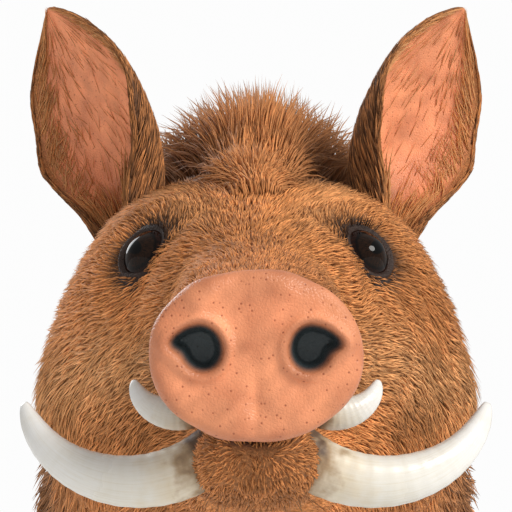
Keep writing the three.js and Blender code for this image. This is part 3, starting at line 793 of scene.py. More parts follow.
def fur_tint(p, legs):
    """The colour of the coat at a place: warm brown face with a pale streak along the cheek and dark rings
    round the eyes, darker muzzle and back, brown flanks, near-black legs."""
    x, y, z = left_half(p).T
    tint = mix(PALETTE["face"], PALETTE["trunk"], ramp(330, 620, y))
    # The muzzle's darker colour lies mostly on its top and is held back on the jaw below: a darker muzzle
    # marking, and painted light on the chin, which sits in the snout disc's shadow.
    tint = mix(tint, PALETTE["muzzle"], (0.25 + 0.45 * ramp(580, 610, z)) * (1 - ramp(50, 150, y)))
    crest = (1 - ramp(30, 75 + 0.04 * np.minimum(y, 700), x)) * ramp(240, 330, y) * (z > widest_level(y))
    tint = mix(tint, PALETTE["back"], 0.8 * crest)
    tint = mix(tint, PALETTE["belly"], ramp(420, 600, y) * (1 - ramp(400, 520, z)))
    streak = to_segment(p, (44, 110, 640), (120, 300, 655))
    tint = mix(tint, PALETTE["pale"], 0.55 * hill(streak, 0, 24))
    tint = mix(tint, PALETTE["pale"], 0.30 * hill(to_segment(p, (30, 180, 735), (52, 300, 790)), 0, 20))
    tint = mix(tint, PALETTE["black"], 0.85 * (1 - ramp(24, 35, from_eye(p))))
    tint = mix(tint, PALETTE["leg"], legs * (1 - ramp(200, 350, z)))
    tint = mix(tint, PALETTE["leg"], 0.6 * ramp(1400, 1425, y))
    return tint * (1 + 0.15 * wobble(p, 130, 31) + 0.10 * wobble(p, 40, 32))[:, None]


def skin_values(p):
    """For points of the skin: its colour, how bare it is, and places drawn out along the hair, so that a
    noise read there makes streaks that follow the lie."""
    legs = leg_share(p)
    tint = 0.6 * fur_tint(p, legs)
    v, turn, depth = ear_where(p)
    ear = (v > -0.06) & (np.abs(turn) < 1.25) & (np.abs(depth - 3) < 7) & (p[:, 1] > 260) & (p[:, 1] < 420)
    ear &= skin_distance(p) > 0.8
    into = depth / np.maximum(ear_depth(v, turn), 0.5)
    rim = mix(0.9 * PALETTE["ear"], 0.5 * PALETTE["face"], ramp(0.0, 0.5, into))
    tint = mix(tint, rim * (1 + 0.2 * wobble(p, 25, 41))[:, None], ear)
    hollow = ear * ramp(0.25, 0.75, into) * (1 - ramp(0.85, 1.0, np.abs(turn)))
    # The hollow's flesh is brighter than the disc's rose, painted light against the shade in the hollow, and
    # is darker towards the ear's base.
    flesh = PALETTE["rose"] * (1.14 - 0.60 * (1 - ramp(0.0, 0.45, v)) + 0.14 * wobble(p, 16, 42))[:, None]
    tint, bare = mix(tint, flesh, hollow), 0.9 * hollow
    front = p[:, 1] < DISC_REACH
    across, into, up = to_disc(p).T
    disc = front * (1 - ramp(10, 17, into)) * (measured(p, front, disc_distance, BEYOND) < 6)
    blush = 1 + 0.10 * wobble(p, 22, 43) + 0.06 * wobble(p, 7, 44)
    edge = front * hill(np.hypot(across / DISC["half_width"], up / DISC["half_height"]), 1.0, 0.13)
    rose = mix(PALETTE["rose"] * blush[:, None], 0.55 * PALETTE["rose"], 0.45 * edge)
    tint, bare = mix(tint, rose, disc), np.maximum(bare, disc)
    gap = measured(p, front, nostril_gap, FAR)
    inside = (gap < 8) * (into < 15.5)
    # Painted shade in the nostrils: a darker rose ring at the rim and dark slate deeper in, deepening the
    # holes.
    tint = mix(tint, 0.5 * PALETTE["rose"], inside * (1 - ramp(0.5, 3.5, gap)) * 0.6)
    tint = mix(tint, PALETTE["slate"], inside * (1 - ramp(-2.4, 0.4, gap)))
    bare = np.maximum(bare, inside * (1 - ramp(0, 2, gap)))
    lips = 1 - ramp(2.0, 6.0, mouth_gap(p))
    tint, bare = mix(tint, PALETTE["lip"], lips * (1 - disc)), np.maximum(bare, 0.8 * lips)
    lids = 1 - ramp(3.0, 7.0, lid_gap(p))
    tint, bare = mix(tint, PALETTE["lid"], lids), np.maximum(bare, 0.6 * lids)
    x, y, z = p.T
    drop = np.interp(y, SAG_AT, SAG_SUM)
    drawn = mix(xyz(x, 0.12 * y, z + drop), xyz(x, y, 0.12 * z), legs)
    return tint, bare, drawn


# ---------------------------------------------------------------- the lie of the coat
sag = curve([0, 0.0], [150, 0.1], [300, 0.35], [450, 0.5], [900, 0.5], [1200, 0.9], [1400, 1.6])
SAG_AT = np.linspace(0, 1440, 300)
SAG_SUM = np.cumsum(sag(SAG_AT)) * (SAG_AT[1] - SAG_AT[0])  # how far the hair has sunk by each place


def turned(way, normal, angle):
    """Directions laid flat on the skin and turned about its normal."""
    way = unit(way - normal * (way * normal).sum(-1, keepdims=True))
    angle = np.asarray(angle)[..., None]
    return way * np.cos(angle) + np.cross(normal, way) * np.sin(angle)


def lie(p, normal, legs):
    """The way the hair lies: back along the body and sinking with the sag, down and out on the jowls,
    parting round the eyes, straight down the legs and tail, with slow swirls."""
    x, y, z = p.T
    spread = 0.12 + 0.38 * hill(y, 190, 110)
    way = xyz(spread * np.tanh(x / 22), 1, -sag(y))
    jowl = hill(y, 320, 75) * (1 - ramp(645, 705, z))
    way = way + jowl[:, None] * xyz(0.45 * np.sign(x), 0, -0.55)
    away = p - own_eye(p)
    far = np.linalg.norm(away, axis=-1)
    away = away / far[:, None]
    toward = np.minimum((unit(way) * away).sum(-1), 0)
    way = unit(way) - away * (1.25 * toward * (1 - ramp(26, 52, far)))[:, None]
    way = mix(way, np.array([0, 0.12, -1.0]), legs)
    way = mix(way, np.array([0, 0.03, -1.0]), ramp(1385, 1405, y))
    return turned(way, normal, 0.24 * wobble(p, 120, 21) + 0.12 * wobble(p, 34, 22))


def combed(root, length, lift, at, stray):
    """Middle lines of hairs, at the given shares of their length: each step follows the lie, is drawn back
    to the skin, and stands off it by the lift times the share to the power 0.8. stray turns a hair aside.
    Also their normals."""
    _, slope = distance_and_slope(root)
    normal = unit(slope)
    legs = leg_share(root)
    way = turned(lie(root, normal, legs), normal, stray)
    p = root
    line, normals = [pressed(p, normal) - normal * 1.2], [normal]
    for before, after in zip(at[:-1], at[1:]):
        p = p + way * (length * (after - before))[:, None]
        gap, slope = distance_and_slope(p)
        normal = unit(slope)
        p = p - normal * np.clip(gap, -7, 7)[:, None]
        way = turned(0.5 * way + 0.5 * turned(lie(p, normal, legs), normal, stray), normal, 0)
        line.append(pressed(p, normal) + normal * (lift * after**0.8)[:, None])
        normals.append(normal)
    return np.stack(line, 1), np.stack(normals, 1)


def gathered(root, line, at, cell, pull):
    """Hairs drawn together into locks: each point moves towards the lock's middle hair by pull times its
    share of the length squared; a lock is the hairs whose roots share a cell."""
    warp = np.stack([wobble(root, 4.3 * cell, 53 + k) for k in range(3)], -1)
    key = np.floor(root / cell + 0.8 * warp).astype(np.int64) @ np.array([1, 4096, 4096**2])
    _, lock = np.unique(key, return_inverse=True)
    count = np.bincount(lock)[:, None]
    middle = np.stack([np.bincount(lock, root[:, k]) for k in range(3)], -1) / count
    aside = root - middle[lock]
    return line - aside[:, None] * (pull * at**2)[None, :, None]


def blade_faces(count, rings):
    """Quads and triangles of many closed three-sided blades, each of some rings and a tip."""
    last, tip = 3 * (rings - 1), 3 * rings
    ends = np.array([[2, 1, 0], [last, last + 1, tip], [last + 1, last + 2, tip], [last + 2, last, tip]])
    start = np.arange(count)[:, None, None] * (tip + 1)
    return (sleeve(rings, 3) + start).reshape(-1, 4), (ends + start).reshape(-1, 3)


# By the number of a blade's rings: where rings and tip stand along it, and each ring's share of its width.
STATIONS = {2: np.array([0, 0.5, 1]), 3: np.array([0, 0.35, 0.7, 1]), 4: np.array([0, 0.25, 0.5, 0.75, 1])}
BLADE_WIDE = {2: [0.85, 0.9], 3: [0.8, 1.0, 0.7], 4: [0.8, 1.0, 0.85, 0.55]}
BLADE_HIGH = 0.65  # a ring's height over half its width
PATCH = 0.003  # a blade's share of the map's side
STRAND_STEP = 90  # how far apart in the streaks' noise the blades are set


def blades(name, line, normal, wide, root_tint, tip_tint, chart, seed):
    """One piece of many blades. Round each middle line but its tip goes a flat three-cornered ring: the two
    lower corners half the width aside, the upper one a third of it off the skin. The map gives each blade
    a patch at its root's place on the chart."""
    count, rings = len(line), line.shape[1] - 1
    way = unit(np.gradient(line, axis=1))[:, :rings]
    up = unit(normal[:, :rings] - way * (way * normal[:, :rings]).sum(-1, keepdims=True))
    side = np.cross(up, way)
    half = (wide[:, None] * np.array(BLADE_WIDE[rings]) / 2)[..., None]
    middle = line[:, :rings]
    ring = np.stack([middle + side * half, middle + up * half * BLADE_HIGH, middle - side * half], 2)
    points = np.concatenate([ring.reshape(count, -1, 3), line[:, rings:]], 1).reshape(-1, 3)
    quads, ends = blade_faces(count, rings)
    made = new_object(name, points, quads, ends)
    share = np.append(np.repeat(STATIONS[rings][:-1], 3), 1.0)
    tint = mix(root_tint[:, None], tip_tint[:, None], np.tile(share**0.75, (count, 1)))
    mark(made, "tint", opaque(tint).reshape(-1, 4))
    chance = np.random.default_rng(seed).random((count, 1))
    across = np.append(np.tile([0.0, 0.5, 1.0], rings), 0.5)
    beside = chance * STRAND_STEP + across
    mark(made, "strand", xyz(beside, 2 * share, 0).reshape(-1, 3))
    low, high = chart.min(0), chart.max(0)
    place = (chart - low) / np.maximum(high - low, 1e-9) * (1 - PATCH)
    spot = np.stack([across, 0.9 * share], -1)
    spot[1, 1] = 0.1  # keeps the end at the root from folding flat on the map
    corner = (place[:, None] + PATCH * spot[None]).reshape(-1, 2)
    index = np.empty(len(made.data.loops), np.int32)
    made.data.loops.foreach_get("vertex_index", index)
    layer = made.data.uv_layers.new(name="OFBake")
    layer.uv.foreach_set("vector", corner[index].astype(np.float32).ravel())
    return made


def opaque(colours):
    """Colours with a fourth number, 1, after red, green and blue."""
    return np.concatenate([colours, np.ones((*colours.shape[:-1], 1))], -1)


KINDS = {1: ("FLOAT", "value"), 3: ("FLOAT_VECTOR", "vector"), 4: ("FLOAT_COLOR", "color")}


def mark(made, name, values):
    """Keeps numbers, vectors or colours at an object's points."""
    kind, field = KINDS[1 if values.ndim == 1 else values.shape[1]]
    kept = made.data.attributes.new(name, kind, "POINT")
    kept.data.foreach_set(field, np.ascontiguousarray(values, np.float32).ravel())


def scattered(points, final, faces, spacing, wanted, rng):
    """Roots spread evenly over the finished skin: three random places to a square of the spacing, of which
    each cell of a grid as wide as the spacing keeps one. wanted gives the share of the roots kept at a
    place. Returned are their places on the settled skin, and how far the folds and lids stretch it there."""
    corners = tuple(faces.T)
    area = triangle_areas(final, faces)
    stretch = np.sqrt(area / np.maximum(triangle_areas(points, faces), 1e-9))
    area = area * (wanted(sum(points[k] for k in corners) / 3) > 0)
    total = area.sum()
    count = int(3 * total / spacing**2)
    pick = np.searchsorted(np.cumsum(area), (np.arange(count) + rng.random(count)) / count * total)
    pick = np.minimum(pick, len(faces) - 1)
    r, s = np.sqrt(rng.random((count, 1))), rng.random((count, 1))
    shares = 1 - r, r * (1 - s), r * s
    seen = sum(final[k[pick]] * share for k, share in zip(corners, shares))
    key = np.floor(seen / spacing).astype(np.int64) @ np.array([1, 8192, 8192**2])
    first = np.sort(np.unique(key, return_index=True)[1])
    place = sum(points[k[pick[first]]] * share[first] for k, share in zip(corners, shares))
    kept = rng.random(len(place)) < wanted(place)
    return np.column_stack([place, stretch[pick[first]]])[kept]


def triangle_areas(points, faces):
    """The area of each triangle."""
    a, b, c = points[faces[:, 0]], points[faces[:, 1]], points[faces[:, 2]]
    return np.linalg.norm(np.cross(b - a, c - a), axis=-1) / 2


# ---------------------------------------------------------------- the coat
hair_long = curve([15, 4], [40, 5], [80, 8], [130, 11], [200, 14], [260, 20], [330, 32], [400, 44],
                  [560, 60], [900, 62], [1200, 55], [1400, 42])
hair_wide = curve([15, 0.8], [100, 1.0], [200, 1.15], [300, 1.5], [400, 2.1], [560, 3.0], [1400, 3.2])
LEG_HAIR = {"at": [45, 120, 300, 480], "long": [9, 13, 22, 42], "wide": [0.9, 1.1, 1.8, 2.9]}  # by height
TAIL_HAIR = {"from": 1385, "long": 24, "wide": 1.6}
ROOT_SHADE = 0.56  # a hair's root, to the coat's colour
BLEACH = 0.45  # the most that a hair's tip turns pale


def body_chart(p):
    """A place on the body's unwrap: its turn round the body's middle, and its distance back."""
    turn = np.arctan2(p[:, 0], p[:, 2] - widest_level(p[:, 1]))
    return np.stack([turn / FULL_TURN + 0.5, p[:, 1] / 1440], -1)


def leg_chart(p):
    """A place on the legs' unwrap: a strip for each leg, across it the turn round the leg, up it the
    height."""
    turn = np.zeros(len(p))
    for number, (name, (leg, side, _)) in enumerate(LEGS.items()):
        mine = (p[:, 0] * side > 0) & (np.abs(p[:, 1] - leg["station"]) < 200)
        cx, cy = leg_middle(name, p[mine, 2])
        angle = np.arctan2(p[mine, 0] - cx, p[mine, 1] - cy)
        turn[mine] = number + 0.04 + 0.92 * (angle / FULL_TURN + 0.5)
    return np.stack([turn / 4, p[:, 2] / 700], -1)


def furred(p):
    """The share of roots kept on the head and body: none on the disc, lips or lids, few on the muzzle's
    end."""
    into = to_disc(p)[:, 1]
    keep = np.where(p[:, 1] < DISC_REACH, ramp(15, 30, into) * 0.8 + 0.2 * (into > 17), 1.0)
    return keep * ramp(1.2, 3.0, lid_gap(p)) * ramp(2.0, 5.0, mouth_gap(p))


def hair_tints(p, legs, rng):
    """Root and tip colours of hairs: the coat's colour darkened at the root and bleached towards straw at
    the tip, by chance and by lock."""
    tint = fur_tint(p, legs)
    chance = rng.random(len(p))
    lock = 0.5 + 0.5 * wobble(p, 16, 51)
    shade = (0.79 + 0.5 * chance) * (0.87 + 0.3 * lock)
    bleach = BLEACH * np.clip(0.25 + 0.5 * lock + 0.5 * (chance - 0.5), 0, 1)
    bright = np.minimum(2.1, 0.9 / tint.max(-1, keepdims=True))
    tip = mix(tint, bright * tint + 0.015, bleach)
    return tint * ROOT_SHADE * shade[:, None], tip * shade[:, None]


def over_dewclaws(p):
    """1 just above the root of a dewclaw, falling to 0 some 16 mm from there."""
    share = np.zeros(len(p))
    for name in LEGS:
        x0, y0 = leg_middle(name, HOOF_LEVEL)
        away = xyz(np.abs(p[:, 0] - x0) - DEWCLAW["x"], p[:, 1] - y0 - 16, p[:, 2] - 92)
        share = np.maximum(share, 1 - ramp(4, 17, np.linalg.norm(away, axis=-1)))
    return share


def coat_piece(name, root, spacing, rings, seed, chart):
    """Tufts of one stretch of the coat from their roots, their length, width and stand-off by the place:
    short round the eyes, long on the jowls and over the dewclaws, and shorter where the skin is stretched."""
    rng = np.random.default_rng(seed)
    root, stretch = root[:, :3], np.clip(root[:, 3], 1, 3)
    count, at = len(root), STATIONS[rings]
    legs = leg_share(root)
    _, y, z = root.T
    tail = y > TAIL_HAIR["from"]
    length = hair_long(y) * (1 - legs) + legs * np.interp(z, LEG_HAIR["at"], LEG_HAIR["long"])
    wide = hair_wide(y) * (1 - legs) + legs * np.interp(z, LEG_HAIR["at"], LEG_HAIR["wide"])
    length, wide = np.where(tail, TAIL_HAIR["long"], length), np.where(tail, TAIL_HAIR["wide"], wide)
    jowl = hill(y, 330, 80) * (1 - ramp(640, 700, z)) * (1 - legs)
    near_eye = 1 - ramp(24, 52, from_eye(root))
    cuff = over_dewclaws(root)
    length = length * (1 + 0.55 * jowl) * (1 - 0.68 * near_eye) * rng.uniform(0.72, 1.2, count) / stretch
    length = length * (1 + 0.9 * cuff)
    wide = wide * (1 - 0.4 * near_eye) * rng.uniform(0.75, 1.25, count)
    depth = mix(coat_depth(root)[:, None], LEG_COAT(z)[:, None], legs)[:, 0]
    depth = np.where(tail, TAIL_COAT, depth)
    lift = depth * rng.uniform(0.35, 1.0, count) * (1 - 0.3 * legs) + 8 * cuff
    line, normal = combed(root, length, lift, at, rng.normal(0, 0.13, count))
    line = gathered(root, line, at, 5.5 * spacing, 0.30)
    low, high = hair_tints(root, legs, rng)
    finish(blades(name, line, normal, wide, low, high, chart(root), seed), HAIR)


# ---------------------------------------------------------------- finishes
class Finish:
    """A node material in the making: its principled shader, and makers of the nodes that feed it. Each maker
    gives its node's output, for the next one to read."""

    def __init__(self, name, levels):
        """A new material, with fixed levels on its shader's own inputs."""
        self.made = bpy.data.materials.new(name)
        self.made.use_nodes = True
        self.tree = self.made.node_tree
        self.shader = self.tree.nodes["Principled BSDF"]
        self.feed(self.shader, levels)

    def feed(self, target, inputs):
        """Sets a node's inputs to numbers, or links them to other nodes' outputs."""
        for key, value in inputs.items():
            if isinstance(value, bpy.types.NodeSocket):
                self.tree.links.new(value, target.inputs[key])
            else:
                target.inputs[key].default_value = value

    def wire(self, inputs):
        """Feeds the shader itself."""
        self.feed(self.shader, inputs)

    def node(self, kind, output, inputs, **settings):
        """A node with its settings and inputs, and one of its outputs."""
        made = self.tree.nodes.new("ShaderNode" + kind)
        for key, value in settings.items():
            setattr(made, key, value)
        self.feed(made, inputs)
        return made.outputs[output]

    def kept(self, name, output="Color"):
        """What is kept under a name at the piece's points."""
        return self.node("Attribute", output, {}, attribute_name=name)

    def place(self):
        """The place on the piece, in metres."""
        return self.node("TexCoord", "Object", {})

    def axis(self, vector, letter):
        """One number of three."""
        return self.node("SeparateXYZ", letter, {"Vector": vector})

    def stretched(self, vector, by):
        """A place with each of its three numbers multiplied by its own factor."""
        return self.node("VectorMath", "Vector", {0: vector, 1: by}, operation="MULTIPLY")

    def math(self, operation, *values):
        """Plain arithmetic on numbers; multiply-add is the first times the second, plus the third."""
        return self.node("Math", 0, dict(enumerate(values)), operation=operation)

    def noise(self, vector, scale, detail, **more):
        """Smooth noise of about 0.5, of a scale and with finer octaves."""
        return self.node("TexNoise", "Fac", {"Vector": vector, "Scale": scale, "Detail": detail, **more})

    def cells(self, vector, scale, randomness, feature):
        """Distance from the middles or the edges of scattered cells."""
        inputs = {"Vector": vector, "Scale": scale, "Randomness": randomness}
        return self.node("TexVoronoi", "Distance", inputs, feature=feature)

    def ramp(self, value, *stops):
        """A colour read along stops of a place and a colour, or one level of grey."""
        made = self.node("ValToRGB", "Color", {"Fac": value})
        elements = made.node.color_ramp.elements
        while len(elements) < len(stops):
            elements.new(0.5)
        for element, (place, colour) in zip(elements, stops):
            element.position = place
            element.color = opaque(np.full(3, 1.0) * colour)
        return made

    def carried(self, value, low, high, to_low=0.0, to_high=1.0):
        """A number carried in a straight line from one span to another."""
        return self.node("MapRange", "Result", {"Value": value, "From Min": low, "From Max": high,
                                                "To Min": to_low, "To Max": to_high})

    def times(self, first, second):
        """Two colours multiplied."""
        inputs = {"Factor": 1.0, 6: first, 7: second}
        return self.node("Mix", 2, inputs, data_type="RGBA", blend_type="MULTIPLY")

    def blend(self, share, first, second):
        """The first colour at share 0, the second at share 1."""
        return self.node("Mix", 2, {"Factor": share, 6: first, 7: second}, data_type="RGBA")

    def between(self, share, first, second):
        """The first number at share 0, the second at share 1."""
        return self.node("Mix", 0, {"Factor": share, 2: first, 3: second}, data_type="FLOAT")

    def bump(self, height, strength, distance):
        """The shader's surface raised by a height in metres times the distance."""
        inputs = {"Height": height, "Strength": strength, "Distance": distance}
        self.wire({"Normal": self.node("Bump", "Normal", inputs)})


def coat_finish():
    """Hair: the colour kept at its points, with fine streaks along each strand and gloss that varies from
    hair to hair."""
    hair = Finish("boar hair", {"Specular IOR Level": 0.1})
    strand = hair.stretched(hair.kept("strand", "Vector"), (6.0, 1.3, 1.0))
    streak = hair.noise(strand, 1.0, 3.0)
    shade = hair.ramp(streak, (0.28, 0.62), (0.5, 1.0), (0.72, 1.36))
    hair.wire({"Base Color": hair.times(hair.kept("tint"), shade),
               "Roughness": hair.carried(streak, 0.3, 0.7, 0.52, 0.72)})
    return hair.made


def skin_finish():
    """Skin: the colour kept at its points. Where it is bare, moist and pored, with a fine net of creases;
    elsewhere a dense short undercoat, drawn as noise stretched along the lie of the hair."""
    hide = Finish("boar skin", {"Roughness": 0.6, "Specular IOR Level": 0.32})
    bare, place = hide.kept("bare", "Fac"), hide.place()
    down = hide.noise(hide.kept("drawn", "Vector"), 0.9, 5.0, Roughness=0.6)
    broad = hide.noise(place, 55.0, 4.0)
    pores = hide.cells(place, 310.0, 0.85, "F1")
    net = hide.cells(place, 620.0, 1.0, "DISTANCE_TO_EDGE")
    fine = hide.noise(place, 900.0, 3.0)
    under = hide.ramp(down, (0.30, 0.55), (0.52, 1.0), (0.74, 1.7))
    mottled = hide.ramp(broad, (0.3, (0.84, 0.78, 0.76)), (0.5, 1.0), (0.72, (1.12, 1.12, 1.08)))
    pits = hide.ramp(pores, (0.06, (0.50, 0.36, 0.32)), (0.20, 1.0))
    shaded = hide.times(hide.kept("tint"), hide.blend(bare, under, mottled))
    wet = hide.carried(broad, 0.3, 0.7, 0.30, 0.46)
    hide.wire({"Base Color": hide.times(shaded, hide.blend(bare, (1, 1, 1, 1), pits)),
               "Roughness": hide.between(bare, 0.78, wet)})
    creased = hide.math("ADD", hide.carried(net, 0.0, 0.22, 0.0, 0.5), hide.carried(pores, 0.05, 0.25))
    high = hide.between(bare, down, hide.math("ADD", creased, fine))
    hide.bump(high, hide.between(bare, 0.9, 0.26), 0.0012)
    return hide.made


def ivory_finish():
    """Tusk: cream with growth bands and long fine grain, brown stain and cracks towards the root, and a
    worn, polished tip. It reads the place along the tusk kept at its points."""
    tooth = Finish("tusk ivory", {"Roughness": 0.3})
    along = tooth.kept("along", "Vector")
    grain = tooth.noise(tooth.stretched(along, (4.0, 80.0, 1.0)), 1.0, 5.0)
    bands = tooth.noise(tooth.stretched(along, (17.0, 2.5, 1.0)), 1.0, 3.0)
    edge = tooth.math("MULTIPLY_ADD", tooth.noise(tooth.place(), 120.0, 5.0), 0.34, tooth.axis(along, "X"))
    cream = tooth.ramp(edge, (0.14, (0.12, 0.070, 0.04)), (0.22, (0.42, 0.30, 0.18)),
                       (0.32, (0.74, 0.66, 0.52)), (0.48, (0.76, 0.735, 0.665)), (1.0, (0.80, 0.79, 0.77)))
    lines = tooth.ramp(grain, (0.28, (0.93, 0.90, 0.84)), (0.52, 1.0))
    rings = tooth.ramp(bands, (0.30, (0.96, 0.945, 0.91)), (0.60, 1.0))
    tooth.wire({"Base Color": tooth.times(tooth.times(cream, lines), rings),
                "Roughness": tooth.carried(edge, 0.2, 0.7, 0.55, 0.22)})
    tooth.bump(tooth.math("ADD", grain, bands), 0.25, 0.0005)
    return tooth.made


def horn_finish():
    """Hoof horn: near-black with upright fibre, level growth rings, and scuffed paler edges near the sole."""
    horn = Finish("hoof horn", {})
    place = horn.place()
    fibre = horn.noise(horn.stretched(place, (900.0, 900.0, 60.0)), 1.0, 4.0)
    rings = horn.noise(horn.stretched(place, (14.0, 14.0, 420.0)), 1.0, 2.0)
    dirt = horn.noise(place, 90.0, 5.0)
    level = horn.math("ADD", dirt, horn.carried(horn.axis(place, "Z"), 0.0, 0.03, 0.34, 0.0))
    base = horn.ramp(level, (0.36, (0.020, 0.015, 0.012)), (0.55, (0.042, 0.030, 0.023)),
                     (0.74, (0.12, 0.086, 0.060)), (0.9, (0.22, 0.17, 0.12)))
    shade = horn.ramp(fibre, (0.3, 0.7), (0.7, 1.3))
    horn.wire({"Base Color": horn.times(base, shade), "Roughness": horn.carried(dirt, 0.3, 0.7, 0.38, 0.66)})
    horn.bump(horn.math("MULTIPLY_ADD", fibre, 0.35, rings), 0.5, 0.0012)
    return horn.made


def eye_finish():
    """Eye: near-black brown iris with fine spokes round a lying oval pupil, a dark rim, brown white beyond
    it, all under a clear wet coat. It reads the turn from the gaze kept at its points."""
    eye = Finish("boar eye", {"Roughness": 0.12, "Specular IOR Level": 0.0, "Coat Weight": 0.6,
                              "Coat Roughness": 0.03, "Coat IOR": 1.33})
    look = eye.kept("look", "Vector")
    turn = eye.axis(look, "Z")
    angle = eye.math("ARCTAN2", eye.axis(look, "Y"), eye.axis(look, "X"))
    spokes = eye.noise(eye.node("CombineXYZ", "Vector", {"X": angle, "Y": turn}), 9.0, 4.0)
    iris = eye.ramp(spokes, (0.3, (0.004, 0.002, 0.001)), (0.7, (0.022, 0.009, 0.004)))
    zones = eye.ramp(turn, (0.0, 1.0), (0.58, 0.9), (0.66, 0.10), (0.74, (0.9, 0.5, 0.35)))
    reach = eye.node("VectorMath", "Value", {0: eye.stretched(look, (1.0, 1.55, 0.0))}, operation="LENGTH")
    outside_pupil = eye.carried(reach, 0.28, 0.33)
    eye.wire({"Base Color": eye.blend(outside_pupil, (0.002, 0.002, 0.002, 1), eye.times(iris, zones))})
    eye.bump(spokes, 0.08, 0.0005)
    return eye.made


HAIR = coat_finish()


def finish(made, coated):
    """Gives a piece its material, and ties it to the frame."""
    made.data.materials.append(coated)
    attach(made, "root")
    return made


# ---------------------------------------------------------------- eyes, tusks, hooves
CORNEA = {"rise": 1.1, "turn": 0.68}  # its height on the ball, and how far from the gaze it ends


def eyeball(side):
    """One eye: rings about the gaze; the radius swells by a millimetre over the cornea as a raised cosine."""
    turn = np.linspace(0.006, math.pi - 0.006, 80)
    round_it = np.linspace(0, FULL_TURN, 96, endpoint=False)
    swell_share = 0.5 * (1 + np.cos(np.clip(turn / CORNEA["turn"], 0, 1) * math.pi))
    radius = EYE["radius"] - 0.9 + CORNEA["rise"] * swell_share
    nose = np.sin(turn)[:, None] * np.cos(round_it)
    up = np.sin(turn)[:, None] * np.sin(round_it)
    ahead = np.cos(turn)[:, None] + 0 * nose
    out = nose[..., None] * NOSEWARD + up[..., None] * LIDWARD + ahead[..., None] * GAZE
    rings = (EYE_MIDDLE + out * radius[:, None, None]) * np.array([side, 1, 1])
    made = new_object("eyeball_" + SIDES[side], *outward(*tube(rings)))
    look = xyz(nose, up, turn[:, None]).reshape(-1, 3)
    mark(made, "look", np.concatenate([look, [[0, 0, 0], [0, 0, math.pi]]]))
    return made


CLEARANCE = 0.3  # how far tusks, claws and dewclaws lie inside their solids
TUSKS = {  # the arc's start, its radius, its turn in degrees, how far it sweeps back, and what is buried
    "lower": {"root": (26, 76, 584), "radius": 59.0, "from": -32.0, "to": 70.0, "sweep": 24.0, "thick": 13.5,
              "buried": 0.14},
    "upper": {"root": (33, 104, 610), "radius": 22.0, "from": -16.0, "to": 78.0, "sweep": 8.0, "thick": 8.5,
              "buried": 0.2},
}


def tusk(which, side):
    """One tusk: a section carried along an arc out and up, from inside the jaw, thinning as the root of
    1 - 0.985 v^1.6. The section is a rounded triangle with a flat, worn face on top towards the tip."""
    t = TUSKS[which]
    v = np.linspace(-t["buried"], 1, 90)
    around = np.linspace(0, FULL_TURN, 36, endpoint=False)
    angle, start = np.radians(t["from"] + (t["to"] - t["from"]) * v), math.radians(t["from"])
    out = t["radius"] * (np.sin(angle) - math.sin(start))
    up = t["radius"] * (math.cos(start) - np.cos(angle))
    thick = (t["thick"] - CLEARANCE) * np.sqrt(np.maximum(1 - 0.985 * np.maximum(v, 0) ** 1.6, 0))
    worn = hill(np.cos(around)[None], 1.0, 0.35) * ramp(0.45, 0.8, v)[:, None]
    corners = 1 - 0.055 * np.cos(3 * around + 0.6)[None] - 0.10 * worn
    ripple = 1 + 0.008 * np.sin(90 * v + 2 * np.sin(9 * v))[:, None]
    radius = thick[:, None] * corners * ripple
    lift, deep = radius * np.cos(around), 0.82 * radius * np.sin(around)
    x = t["root"][0] + out[:, None] - lift * np.sin(angle)[:, None]
    y = t["root"][1] + (t["sweep"] * v * v)[:, None] + deep
    z = t["root"][2] + up[:, None] + lift * np.cos(angle)[:, None]
    made = new_object(f"{which}_tusk_{SIDES[side]}_ivory", *outward(*tube(xyz(side * x, y, z))))
    along = xyz(v[:, None], around / FULL_TURN, 0)
    mark(made, "along", np.concatenate([along.reshape(-1, 3), [[0, 0, 0], [1, 0, 0]]]))
    return made


CLAW = {  # by height: how far it reaches ahead, back and outwards from the foot's middle
    "toe": curve([0, -37], [14, -32], [30, -22], [52, -12]),
    "heel": curve([0, 20], [14, 24], [30, 27], [52, 27]),
    "outside": curve([0, 27], [14, 28], [30, 27], [52, 25]),
    "cleft": 2.0,
}
DEWCLAW = {"x": 17.0, "back": 29.0, "z": 73.0, "radius": 9.5, "tip": 3.5, "length": 34.0, "lean": 32.0,
           "turn": 11.0}


def claws(name):
    """The two claws of one foot: level ovals by height, flat towards the cleft, their walls sloping forward
    to the toe, drawn in by a rounded edge at the sole and by a soft coronet under the hair."""
    x0, y0 = leg_middle(name, HOOF_LEVEL)
    height = np.concatenate([[0, 0.0], np.linspace(0.5, 4, 5), np.linspace(6, 50, 24)])
    edge = np.concatenate([[6.0], 1.8 * (1 - np.sqrt(1 - (1 - np.linspace(0, 4, 6) / 4) ** 2)), np.zeros(24)])
    around = np.linspace(0, FULL_TURN, 44, endpoint=False)
    middle = (CLAW["toe"](height) + CLAW["heel"](height)) / 2
    long = (CLAW["heel"](height) - CLAW["toe"](height)) / 2 - edge - CLEARANCE
    ridge = 0.25 * np.sin(height * 1.25) * (height > 5)
    wide = (CLAW["outside"](height) - edge - CLEARANCE + ridge)[:, None] * powered(np.cos(around), 0.85)
    x = np.maximum(wide, CLAW["cleft"] + 0.4 * edge[:, None])
    y = y0 + (middle[:, None] + (long + ridge)[:, None] * np.sin(around))
    return [outward(*tube(xyz(x0 + way * x, y, height[:, None]))) for way in SIDES]


